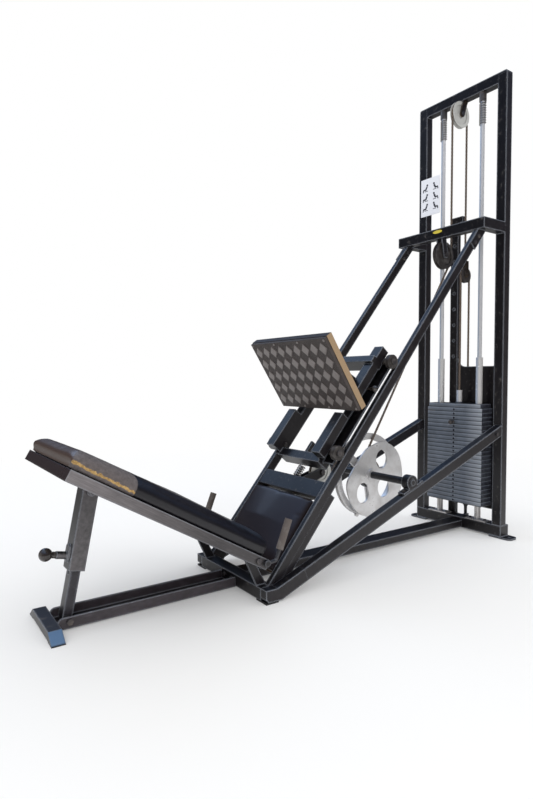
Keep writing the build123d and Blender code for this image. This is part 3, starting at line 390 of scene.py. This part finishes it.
SPECIAL = {
    "backrest_frame": backrest_paint(),
    # the pale near faces of the sleeve and the inner tube are painted sheen
    "post_sleeve": painted_steel("hammered_sleeve", (0.006, 0.005, 0.006), 0.8, speckle=0.10,
                                 near_sheen=(0.135, 0.125, 0.13), near_sheen_share=1.0),
    "post_inner_tube": painted_steel("post_tube", BLACK, 0.8, near_sheen=(0.05, 0.047, 0.056)),
    "front_base": channel_paint(),
    # the cross members are painted near black: painted shade where they sit in shadow
    "rail_cross_members": painted_steel("cross_member_shade_paint", (0.004, 0.003, 0.004), 0.3,
                                        near_sheen=(0.006, 0.004, 0.006)),
    "grip_rods": painted_steel("grip_rod_paint", BLACK, 0.4),
    "hand_grips": moulded("hand_grip_foam", (0.115, 0.095, 0.085), 0.5, 0.6, 260, 0.3),
    "frame_bolts": bright_metal("dark_bolt", (0.085, 0.08, 0.085), 0.34, (1, 1, 1), dirt=0.4, metal=0.7),
    "roller_axles": bright_metal("dark_axle", (0.085, 0.08, 0.085), 0.34, (1, 1, 1), dirt=0.4, metal=0.7),
    "top_springs": bright_metal("dark_spring", (0.20, 0.185, 0.18), 0.32, (1, 1, 1), dirt=0.4, metal=0.8),
    "rod_sleeves": plating("sleeve_plating", (0.90, 0.89, 0.88), 0.25, 0.05),
    "stack_stem": plating("stem_plating", (0.86, 0.85, 0.84), 0.16, 0.1),
}


def dress_cad_nodes():
    """Gives every CAD node its material."""
    slots = {part["node"]: part["material_slot"] for part in frame["record"]["subparts"]}
    for name, node in NODES.items():
        node.data.materials.clear()
        node.data.materials.append(SPECIAL.get(name, MATERIALS[slots[name]]))


dress_cad_nodes()


# ---------------------------------------------------------------- places taken from the frame

def joint(name):
    """A joint's entry in the frame."""
    return next(entry for entry in frame["joints"] if entry["name"] == name)


def middle(node):
    """The middle of a node's box."""
    low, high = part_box(node)
    return (low + high) / 2


def face_frame(node, toward):
    """The frame of a flat node's largest face, with z out of it and y along Y, and its half size."""
    mesh = NODES[node].data
    candidates = [face for face in mesh.polygons if face.normal.dot(Vector(toward)) > 0.5]
    best = max(candidates, key=lambda face: face.area)
    out = best.normal.copy()
    side = Vector((0, 1, 0))
    along = side.cross(out).normalized()
    corners = [v.co for v in mesh.vertices if abs((v.co - best.center).dot(out)) < 0.0005]
    reach = [co.dot(along) for co in corners]
    width = [co.y for co in corners]
    centre = along * (min(reach) + max(reach)) / 2 + out * best.center.dot(out)
    centre.y = (min(width) + max(width)) / 2
    turn = Matrix((along, side, out)).transposed().to_4x4()
    half = ((max(reach) - min(reach)) / 2, (max(width) - min(width)) / 2)
    return Matrix.Translation(centre) @ turn, half


# ---------------------------------------------------------------- mesh helpers

def new_piece(name, vertices, faces, body, material, smooth=True):
    """A piece of the visual model that rides on a body."""
    mesh = bpy.data.meshes.new(name)
    mesh.from_pydata(vertices, [], faces)
    mesh.materials.append(material)
    if smooth:
        mesh.shade_smooth()
    piece = bpy.data.objects.new(name, mesh)
    bpy.context.scene.collection.objects.link(piece)
    if body:
        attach(piece, body)
    return piece


def grid_faces(rings, around, closed=True):
    """Quads between rings of points, with both ends closed when asked."""
    faces = []
    for ring in range(rings - 1):
        for step in range(around):
            nxt = (step + 1) % around
            faces.append((ring * around + step, ring * around + nxt,
                          (ring + 1) * around + nxt, (ring + 1) * around + step))
    if closed:
        faces.append(tuple(reversed(range(around))))
        faces.append(tuple((rings - 1) * around + step for step in range(around)))
    return faces


def ellipse(x, y, wide, tall, count=20):
    """Points round an ellipse."""
    spots = [2 * math.pi * step / count for step in range(count)]
    return [(x + wide * math.cos(spot), y + tall * math.sin(spot)) for spot in spots]


# ---------------------------------------------------------------- ropes

ROPE_RADIUS = 0.0049
ROPE_AROUND = 18           # points round a rope
ROPE_STEP = 0.0021         # from one ring of points to the next
ROPE_LAY = 0.066           # the length in which a strand goes once round
STRANDS = 4


def resampled(path, step):
    """Points at even spacing along a path."""
    lengths = [0.0]
    for first, second in zip(path, path[1:]):
        lengths.append(lengths[-1] + (second - first).length)
    count = max(2, round(lengths[-1] / step))
    points = []
    index = 0
    for number in range(count + 1):
        want = lengths[-1] * number / count
        while index < len(path) - 2 and lengths[index + 1] < want:
            index += 1
        share = (want - lengths[index]) / max(lengths[index + 1] - lengths[index], 1e-9)
        points.append(path[index].lerp(path[index + 1], share))
    return points


def rope(name, path, body, replaced=None):
    """A rope of twisted strands along a path that stays in one plane across the machine."""
    points = resampled(path, ROPE_STEP)
    vertices = []
    strands = []
    travelled = 0.0
    for index, point in enumerate(points):
        before = points[max(index - 1, 0)]
        after = points[min(index + 1, len(points) - 1)]
        side = Vector((0, 1, 0))
        normal = side.cross((after - before).normalized())
        travelled += (point - before).length
        for step in range(ROPE_AROUND):
            angle = 2 * math.pi * step / ROPE_AROUND
            strand = abs(math.cos(STRANDS / 2 * (angle - 2 * math.pi * travelled / ROPE_LAY)))
            radius = ROPE_RADIUS * (0.74 + 0.26 * math.sqrt(strand))
            strands.append(strand)
            vertices.append(point + (side * math.cos(angle) + normal * math.sin(angle)) * radius)
    faces = grid_faces(len(points), ROPE_AROUND)
    piece = new_piece(name, vertices, faces, body, MATERIALS["rope"])
    piece.data.attributes.new("strand", "FLOAT", "POINT").data.foreach_set("value", strands)
    if replaced:
        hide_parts(replaced)
    return piece


def arc(centre, radius, first, last, y=0.0):
    """Points round a pulley between two angles in radians, measured from X towards Z."""
    count = max(4, round(abs(last - first) * radius / 0.003))
    points = []
    for number in range(count + 1):
        angle = first + (last - first) * number / count
        points.append(Vector((centre.x + radius * math.cos(angle), y, centre.z + radius * math.sin(angle))))
    return points


def crossing_tangent(first, second, first_radius, second_radius, side):
    """The angles where a line that crosses between two pulleys touches each of them."""
    gap = second - first
    line = math.atan2(gap.z, gap.x) - side * math.asin((first_radius + second_radius) / gap.length)
    return line + side * math.pi / 2, line - side * math.pi / 2


# Radii from each pulley's axis to the middle of its rope
TOP_PITCH = 0.054
BRACKET_PITCH = 0.058
BLOCK_PITCH = 0.032
REDIRECT_PITCH = 0.046
DRUM_PITCH = 0.062
WHEEL_PITCH = 0.170

CLAMP_ANGLE = math.radians(251.6 - 360)     # where the rope ends on the large wheel
DRUM_WRAP = 2.6                             # radians of rope on the drum


def build_ropes():
    """The rope from the stack to the cam, and the one from the cam to the carriage."""
    top = middle("top_pulley")
    bracket = middle("bracket_pulley")
    block = middle("block_pulley")
    redirect = middle("redirect_pulley")
    shaft = middle("cam_shaft")
    wheel_y = redirect.y
    leave, drum = crossing_tangent(bracket, shaft, BRACKET_PITCH, DRUM_PITCH, 1)
    bend = arc(bracket, BRACKET_PITCH, 0, leave)
    drum_touch = arc(shaft, DRUM_PITCH, drum, drum - 0.01)[0]
    rope("main_rope", arc(top, TOP_PITCH, 0, math.pi) + bend + [drum_touch], "frame", "guided_cables")

    flat_redirect = Vector((redirect.x, 0, redirect.z))
    touch, low_touch = crossing_tangent(shaft, flat_redirect, WHEEL_PITCH, REDIRECT_PITCH, -1)
    rail = Vector(joint("carriage_travel")["axis"])
    off_angle = math.atan2(rail.z, rail.x) + math.pi / 2 - 2 * math.pi
    while low_touch < off_angle:
        low_touch += 2 * math.pi
    while low_touch - off_angle > 2 * math.pi:
        low_touch -= 2 * math.pi
    round_redirect = arc(redirect, REDIRECT_PITCH, low_touch, off_angle, wheel_y)
    wheel_touch = arc(shaft, WHEEL_PITCH, touch, touch - 0.01, wheel_y)[0]
    rope("redirect_rope", [wheel_touch] + round_redirect, "frame")

    wheel_arc = arc(shaft, WHEEL_PITCH, touch, CLAMP_ANGLE, wheel_y)
    rope("wheel_rope", wheel_arc, "cam")
    rope("drum_rope", arc(shaft, DRUM_PITCH, drum, drum - DRUM_WRAP), "cam")
    rope("block_rope", arc(block, BLOCK_PITCH, 0, math.pi), "block")

    low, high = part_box("carriage_cable")
    start = round_redirect[-1]
    end = start + rail * (high.z - start.z - ROPE_RADIUS * rail.x) / rail.z
    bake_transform(rope("carriage_rope", [start, end], None, "carriage_cable"))

    low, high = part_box("anchor_cable")
    ends = [Vector((middle("anchor_cable").x, 0, z)) for z in (low.z, high.z)]
    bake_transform(rope("anchor_rope", ends, None, "anchor_cable"))

    low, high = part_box("block_lift_cable")
    ends = [Vector((middle("block_lift_cable").x, 0, z)) for z in (low.z, high.z)]
    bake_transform(rope("lift_rope", ends, None, "block_lift_cable"))

    low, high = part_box("stem_cable")
    x = middle("stem_cable").x
    ends = [Vector((x, 0, low.z)), Vector((x, 0, high.z))]
    stem_rope = rope("stem_rope", ends, "frame", "stem_cable")
    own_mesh(stem_rope)


build_ropes()


# ---------------------------------------------------------------- footplate mat

DIAMOND_COLUMNS = 9
DIAMOND_ROWS = 5
DIAMOND_HEIGHT = 0.0024
SCREW_COLUMNS = 4
SCREW_INSET = 0.009
SCREW_HEIGHT = 0.0030
SCREW_FOOT = 0.0052        # radius of a screw head on the mat
SCREW_TOP = 0.0036         # and at its top


def build_mat_diamonds():
    """Low smooth diamonds in rows on the footplate's mat, and screw heads above and below them."""
    place_on, half = face_frame("footplate_mat", (-1, 0, -0.2))
    vertices = []
    faces = []
    pitch_y = 2 * half[1] / (DIAMOND_COLUMNS + 0.3)
    pitch_x = 2 * half[0] / (DIAMOND_ROWS + 0.5)
    for row in range(DIAMOND_ROWS):
        for column in range(DIAMOND_COLUMNS):
            x = (row - (DIAMOND_ROWS - 1) / 2) * pitch_x
            y = (column - (DIAMOND_COLUMNS - 1) / 2) * pitch_y
            first = len(vertices)
            for size, height in ((1.0, 0.0), (0.90, DIAMOND_HEIGHT)):
                for dx, dy in ((0.46, 0), (0, 0.42), (-0.46, 0), (0, -0.42)):
                    spot = Vector((x + dx * pitch_x * size, y + dy * pitch_y * size, height))
                    vertices.append(place_on @ spot)
            for side in range(4):
                nxt = (side + 1) % 4
                faces.append((first + side, first + nxt, first + 4 + nxt, first + 4 + side))
            faces.append(tuple(first + 4 + side for side in range(4)))
    for column in range(SCREW_COLUMNS):
        y = (column / (SCREW_COLUMNS - 1) - 0.5) * 2 * (half[1] - SCREW_INSET)
        for x in (-half[0] + SCREW_INSET, half[0] - SCREW_INSET):
            first = len(vertices)
            for wide, height in ((SCREW_FOOT, 0.0), (SCREW_TOP, SCREW_HEIGHT)):
                vertices += [place_on @ Vector((*spot, height)) for spot in ellipse(x, y, wide, wide, 12)]
            faces += [tuple(first + index for index in face) for face in grid_faces(2, 12)]
    new_piece("mat_diamonds", vertices, faces, "footplate", MAT_TOP, smooth=False)


def ribbed_mat():
    """Dark rubber ground, crossed by slanting grooves and fine ribs, with painted shade in the grooves."""
    material, tree, surface = new_material("mat_ground")
    spot = place(tree)
    fine = noise_at(tree, spot, 240, 3)
    wave = add(tree, "ShaderNodeTexWave", {"wave_type": "BANDS", "bands_direction": "Y"},
               Vector=spot, Scale=62.0, Distortion=1.2, Detail=2.0)
    dirt = noise_at(tree, spot, 16, 5, 0.65)
    # the wave's dark bands are painted shade in the grooves
    ground = blend_colours(tree, wave.outputs["Fac"], (0.011, 0.009, 0.009), (0.062, 0.050, 0.047))
    colour = blend_colours(tree, calc(tree, "MULTIPLY", dirt, 0.5), ground, (0.13, 0.105, 0.095))
    feed(tree, surface.inputs["Base Color"], colour)
    surface.inputs["Roughness"].default_value = 0.5
    height = calc(tree, "ADD", wave.outputs["Fac"], calc(tree, "MULTIPLY", fine, 0.8))
    bump(tree, surface, height, 0.7, 0.0016)
    return material


MAT_TOP = moulded("mat_top", (0.19, 0.168, 0.16), 0.38, 0.15, 260, 0.3)
build_mat_diamonds()
NODES["footplate_mat"].data.materials[0] = ribbed_mat()


# ---------------------------------------------------------------- pads

PAD_DEPTH = 0.045          # below a pad's top, where its shaping has faded out
PAD_MARGIN = 0.02          # at least as far as a pad's sides lie outside its flat top
PATCH_START = -0.004       # along the pad from its head end
PATCH_LENGTH = 0.203
PATCH_WIDTH = 0.105        # in from the near side
FOAM_DEPTH = 0.037         # how far below the pad's top the foam shows


def soft_copy(node, name, voxel, body, material):
    """A copy of a plain CAD pad with an even mesh, ready to be shaped."""
    source = NODES[node]
    mesh = source.data.copy()
    piece = bpy.data.objects.new(name, mesh)
    bpy.context.scene.collection.objects.link(piece)
    weld = piece.modifiers.new("weld", "WELD")
    weld.merge_threshold = 0.0001
    remesh = piece.modifiers.new("remesh", "REMESH")
    remesh.mode = "VOXEL"
    remesh.voxel_size = voxel
    apply_modifiers(piece)
    piece.data.materials.clear()
    piece.data.materials.append(material)
    piece.data.shade_smooth()
    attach(piece, body)
    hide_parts(node)
    return piece


def apply_modifiers(piece):
    """Turns a piece's modifiers into its mesh."""
    depsgraph = bpy.context.evaluated_depsgraph_get()
    mesh = bpy.data.meshes.new_from_object(piece.evaluated_get(depsgraph))
    piece.modifiers.clear()
    piece.data = mesh


def inflate(piece, most, pressure=4.0, frames=20):
    """Blows a pad up a little like a stuffed cover; no point moves further than most."""
    rest = [v.co.copy() for v in piece.data.vertices]
    cloth = piece.modifiers.new("cloth", "CLOTH")
    cloth.settings.use_pressure = True
    cloth.settings.uniform_pressure_force = pressure
    cloth.settings.effector_weights.gravity = 0
    cloth.settings.tension_stiffness = 25
    cloth.settings.bending_stiffness = 4
    cloth.point_cache.frame_start = 1
    cloth.point_cache.frame_end = frames
    for number in range(1, frames + 1):
        bpy.context.scene.frame_set(number)
    apply_modifiers(piece)
    for vertex, start in zip(piece.data.vertices, rest):
        step = vertex.co - start
        if step.length > most:
            vertex.co = start + step * (most / step.length)
    bpy.context.scene.frame_set(1)


def shape_pad(piece, frame_of, half, crown, round_end, round_side, wrinkled):
    """Rounds a pad's head end and sides, and crowns it."""
    back = frame_of.inverted()
    for vertex in piece.data.vertices:
        spot = back @ vertex.co
        depth = max(0.0, min(1.0, 1 + spot.z / PAD_DEPTH))
        edge = max(0.0, abs(spot.y) - (half[1] - round_side)) / round_side
        head = max(0.0, -spot.x - (half[0] - round_end)) / round_end
        drop = round_side * 0.22 * edge ** 2 + round_end * 0.04 * head ** 2
        fullness = min(1.0, (spot.x + half[0]) / (1.1 * half[0]))
        lift = crown * fullness * (1 - (spot.y / half[1]) ** 2)
        wrinkle = wrinkled * (0.0008 * noise.noise(spot * 22) + 0.0012 * noise.noise(spot * 7))
        spot.x -= 0.010 * head ** 2 * 4 * depth * (1 - depth)
        spot.z += depth * (lift - drop + wrinkle)
        vertex.co = frame_of @ spot


def vinyl(name, base, frame_of, half, patch=False, sheen=0.28):
    """Old vinyl: fine leather grain, smooth creases, brown bloom, and a torn patch where asked."""
    material, tree, surface = new_material(name)
    spot = place(tree)
    grain = add(tree, "ShaderNodeTexVoronoi", {"feature": "DISTANCE_TO_EDGE"}, Vector=spot, Scale=520.0)
    cloud = noise_at(tree, spot, 7, 3)
    colour = blend_colours(tree, cloud, tuple(c * 0.8 for c in base), tuple(c * 1.4 for c in base))
    if patch:
        x = add(tree, "ShaderNodeSeparateXYZ", Vector=spot).outputs["X"]
        bloom = ramp(tree, calc(tree, "ADD", x, 1.0), [(0.05, grey(0.9)), (0.19, grey(0))])
        colour = blend_colours(tree, bloom, colour, (0.085, 0.054, 0.042))
    gloss = calc(tree, "ADD", calc(tree, "MULTIPLY", cloud, 0.14), sheen)
    height = calc(tree, "ADD", calc(tree, "MULTIPLY", grain.outputs["Distance"], 0.7), cloud)
    if patch:
        torn = torn_patch(tree, frame_of, half)
        colour = blend_colours(tree, torn["bare"], colour, torn["colour"])
        gloss = calc(tree, "ADD", gloss, calc(tree, "MULTIPLY", torn["bare"], 0.45))
    feed(tree, surface.inputs["Base Color"], colour)
    feed(tree, surface.inputs["Roughness"], gloss)
    surface.inputs["Coat Weight"].default_value = 0.25
    surface.inputs["Coat Roughness"].default_value = 0.12
    bump(tree, surface, height, 0.10, 0.0006)
    return material


def torn_patch(tree, frame_of, half):
    """Cloth where the vinyl has worn off the near corner of the head end, over a line of foam."""
    back = frame_of.inverted()
    parts = []
    for row in (back[0], back[1], back[2]):
        dot = add(tree, "ShaderNodeVectorMath", {"operation": "DOT_PRODUCT"})
        tree.links.new(place(tree), dot.inputs[0])
        dot.inputs[1].default_value = (row[0], row[1], row[2])
        parts.append(calc(tree, "ADD", dot.outputs["Value"], row[3]))
    along = calc(tree, "ADD", parts[0], half[0])
    inward = calc(tree, "ADD", parts[1], half[1])
    uneven = calc(tree, "SUBTRACT", noise_at(tree, place(tree), 60, 5, 0.7), 0.5)
    ragged = calc(tree, "MULTIPLY", uneven, 0.016)
    half_patch = PATCH_LENGTH / 2
    across = calc(tree, "DIVIDE", calc(tree, "SUBTRACT", along, PATCH_START + half_patch), half_patch)
    deep = calc(tree, "DIVIDE", inward, PATCH_WIDTH)
    square = calc(tree, "ADD", calc(tree, "POWER", calc(tree, "ABSOLUTE", across), 2.2),
                  calc(tree, "POWER", calc(tree, "MAXIMUM", deep, 0.0), 2.0))
    edge = calc(tree, "ADD", square, calc(tree, "MULTIPLY", ragged, 6.0))
    bare = ramp(tree, edge, [(0.92, grey(1)), (0.96, grey(0))])
    below = calc(tree, "ADD", calc(tree, "MULTIPLY", parts[2], -1.0), ragged)
    slant = calc(tree, "ADD", FOAM_DEPTH, calc(tree, "MULTIPLY", across, 0.003))
    foam_near = calc(tree, "ABSOLUTE", calc(tree, "SUBTRACT", below, slant))
    foam = ramp(tree, calc(tree, "MULTIPLY", foam_near, 100.0), [(0.28, grey(1)), (0.42, grey(0))])
    threads = noise_at(tree, place(tree), 90, 5, 0.7)
    cloth = ramp(tree, threads, [(0.3, (0.085, 0.070, 0.068)), (0.7, (0.15, 0.128, 0.125))])
    crumbs = noise_at(tree, place(tree), 150, 4, 0.7)
    yellow = ramp(tree, crumbs, [(0.3, (0.20, 0.11, 0.03)), (0.7, (0.62, 0.40, 0.15))])
    return {"bare": bare, "colour": blend_colours(tree, foam, cloth, yellow)}


def build_pads():
    """The backrest pad with its torn corner, and the seat pad."""
    for node, name, body, crown, round_end, round_side, patch in (
            ("backrest_pad", "backrest_cushion", "backrest", 0.013, 0.06, 0.075, True),
            ("seat_pad", "seat_cushion", "frame", 0.018, 0.05, 0.05, False)):
        frame_of, half = face_frame(node, (-0.3, 0, 1))
        half = (half[0] + PAD_MARGIN, half[1] + PAD_MARGIN)
        base = (0.008, 0.007, 0.010) if patch else (0.016, 0.010, 0.011)
        material = vinyl(name + "_vinyl", base, frame_of, half, patch)
        pad = soft_copy(node, name, 0.006, body, material)
        shape_pad(pad, frame_of, half, crown, round_end, round_side, 1.0 if patch else 0.2)
        inflate(pad, 0.003)
        smooth = pad.modifiers.new("smooth", "SUBSURF")
        smooth.levels = 1
        smooth.render_levels = 1


build_pads()


# ---------------------------------------------------------------- card and badge

def flat_shape(name, node, toward, outlines, lift, body, material):
    """Thin shapes laid on a node's flat face; outlines are in that face's own x and y."""
    place_on, _ = face_frame(node, toward)
    vertices = []
    faces = []
    for outline in outlines:
        first = len(vertices)
        vertices += [place_on @ Vector((x, y, lift)) for x, y in outline]
        faces.append(tuple(range(first, first + len(outline))))
    return new_piece(name, vertices, faces, body, material, smooth=False)


def bar_between(x0, y0, x1, y1, half):
    """A straight bar with square ends."""
    line = Vector((x1 - x0, y1 - y0)).normalized() * half
    return [(x0 - line.y, y0 + line.x), (x0 + line.y, y0 - line.x),
            (x1 + line.y, y1 - line.x), (x1 - line.y, y1 + line.x)]


def figure(x, y, lean, size=1.25):
    """A plain seated figure: head, body, leg, and the seat under it."""
    shapes = [ellipse(0.013, 0.004 * lean, 0.0042, 0.0042),
              bar_between(0.008, 0.003 * lean, -0.005, -0.004 * lean, 0.0036),
              bar_between(-0.005, -0.004 * lean, -0.002, -0.014 * lean, 0.0026),
              bar_between(-0.002, -0.014 * lean, -0.013, -0.016 * lean, 0.0022),
              bar_between(-0.010, 0.008 * lean, -0.010, -0.008 * lean, 0.0013)]
    return [[(x + along * size, y + across * size) for along, across in shape] for shape in shapes]


BADGE_Y = 0.004
BADGE_HEIGHT = 1.4135
HANGER_PROUD = 0.006       # from the front of the bracket bar to the strap let into it


def build_labels():
    """Six plain figures on the card, and a plain yellow oval on the bracket bar."""
    ink = moulded("card_ink", (0.03, 0.03, 0.045), 0.4, 0.02, 60, 0.05)
    outlines = []
    for row in (-0.052, -0.004, 0.044):
        for column, lean in ((-0.027, 1), (0.024, -1)):
            outlines += figure(row, column, lean)
    flat_shape("card_figures", "instruction_card", (-1, 0, 0), outlines, 0.0004, "frame", ink)
    yellow = moulded("badge_yellow", (0.62, 0.50, 0.04), 0.35, 0.05, 120, 0.1)
    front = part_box("bracket_pulley_hanger")[0].x - HANGER_PROUD - 0.0008
    oval = [Vector((front, BADGE_Y + y, BADGE_HEIGHT + z)) for y, z in ellipse(0, 0, 0.026, 0.0075)]
    new_piece("badge", oval, [tuple(range(len(oval)))], "frame", yellow, smooth=False)


build_labels()


# ---------------------------------------------------------------- floor, light and camera

FLOOR_HALF = 30


def build_floor():
    """A pale floor that glows white away from the machine."""
    mesh = bpy.data.meshes.new("studio_floor")
    corners = [(x * FLOOR_HALF, y * FLOOR_HALF, 0) for x, y in ((-1, -1), (1, -1), (1, 1), (-1, 1))]
    mesh.from_pydata(corners, [], [(0, 1, 2, 3)])
    floor = bpy.data.objects.new("studio_floor", mesh)
    bpy.context.scene.collection.objects.link(floor)
    material, tree, surface = new_material("studio_floor")
    surface.inputs["Base Color"].default_value = (0.93, 0.93, 0.93, 1)
    surface.inputs["Roughness"].default_value = 0.9
    away = add(tree, "ShaderNodeVectorMath", {"operation": "LENGTH"})
    tree.links.new(place(tree), away.inputs[0])
    distance = calc(tree, "DIVIDE", away.outputs["Value"], 6.0)
    fade = ramp(tree, distance, [(0.22, grey(0.18)), (0.62, grey(1))])
    glossy = add(tree, "ShaderNodeLightPath").outputs["Is Glossy Ray"]
    strength = calc(tree, "SUBTRACT", 1.0, calc(tree, "MULTIPLY", glossy, 0.72))
    glow = add(tree, "ShaderNodeEmission", Color=(1, 1, 1, 1), Strength=strength)
    mix = add(tree, "ShaderNodeMixShader", Fac=fade)
    tree.links.new(surface.outputs[0], mix.inputs[1])
    tree.links.new(glow.outputs[0], mix.inputs[2])
    tree.links.new(mix.outputs[0], tree.nodes["Material Output"].inputs["Surface"])
    material.cycles.emission_sampling = "NONE"
    mesh.materials.append(material)


def build_world():
    """White to the camera; reflections see a blue zenith over a warm pale horizon."""
    world = bpy.data.worlds.new("studio")
    bpy.context.scene.world = world
    world.use_nodes = True
    tree = world.node_tree
    background = tree.nodes["Background"]
    coords = add(tree, "ShaderNodeTexCoord").outputs["Generated"]
    height = add(tree, "ShaderNodeSeparateXYZ", Vector=coords).outputs["Z"]
    sky = ramp(tree, calc(tree, "ADD", calc(tree, "MULTIPLY", height, 0.5), 0.5),
               [(0.30, (0.50, 0.46, 0.43)), (0.47, (0.30, 0.26, 0.235)), (0.53, (0.04, 0.035, 0.037)),
                (0.66, (0.04, 0.045, 0.065)), (0.80, (0.10, 0.16, 0.28)), (0.90, (0.35, 0.55, 0.95)),
                (1.0, (0.6, 0.8, 1.0))])
    glossy = add(tree, "ShaderNodeLightPath").outputs["Is Glossy Ray"]
    seen = blend_colours(tree, glossy, (1.0, 1.0, 1.0), sky)
    feed(tree, background.inputs["Color"], seen)
    background.inputs["Strength"].default_value = 1.0
    world.cycles.sampling_method = "NONE"


def build_lights():
    """Two soft lamps that leave no reflection, and a cool one behind that does."""
    lights = (("key_light", (-2.6, -3.4, 3.6), 2.0, 30, (1, 1, 1), False),
              ("fill_light", (3.2, -2.6, 2.6), 2.0, 16, (1, 1, 1), False),
              ("back_light", (-0.6, 3.6, 3.4), 2.5, 20, (0.55, 0.72, 1.0), True))
    for name, spot, size, power, colour, shows in lights:
        lamp = bpy.data.lights.new(name, "AREA")
        lamp.size = size
        lamp.energy = power
        lamp.color = colour
        light = bpy.data.objects.new(name, lamp)
        light.location = spot
        light.visible_glossy = shows
        light.rotation_euler = (Vector((0, 0, 0.6)) - Vector(spot)).to_track_quat("-Z", "Y").to_euler()
        bpy.context.scene.collection.objects.link(light)


def build_camera():
    """The camera, from its place, its three angles and its lens."""
    forward = Vector((math.cos(CAMERA_YAW) * math.cos(CAMERA_PITCH),
                      math.sin(CAMERA_YAW) * math.cos(CAMERA_PITCH), math.sin(CAMERA_PITCH)))
    right = Vector((math.sin(CAMERA_YAW), -math.cos(CAMERA_YAW), 0))
    up = right.cross(forward)
    roll_right = right * math.cos(CAMERA_ROLL) + up * math.sin(CAMERA_ROLL)
    roll_up = up * math.cos(CAMERA_ROLL) - right * math.sin(CAMERA_ROLL)
    lens = bpy.data.cameras.new("camera")
    lens.lens = CAMERA_LENS
    lens.shift_x, lens.shift_y = CAMERA_SHIFT
    camera = bpy.data.objects.new("camera", lens)
    turn = Matrix((roll_right, roll_up, -forward)).transposed().to_4x4()
    camera.matrix_world = Matrix.Translation(CAMERA_PLACE) @ turn
    bpy.context.scene.collection.objects.link(camera)
    bpy.context.scene.camera = camera


build_floor()
build_world()
build_lights()
build_camera()
bpy.context.scene.view_settings.view_transform = "Standard"
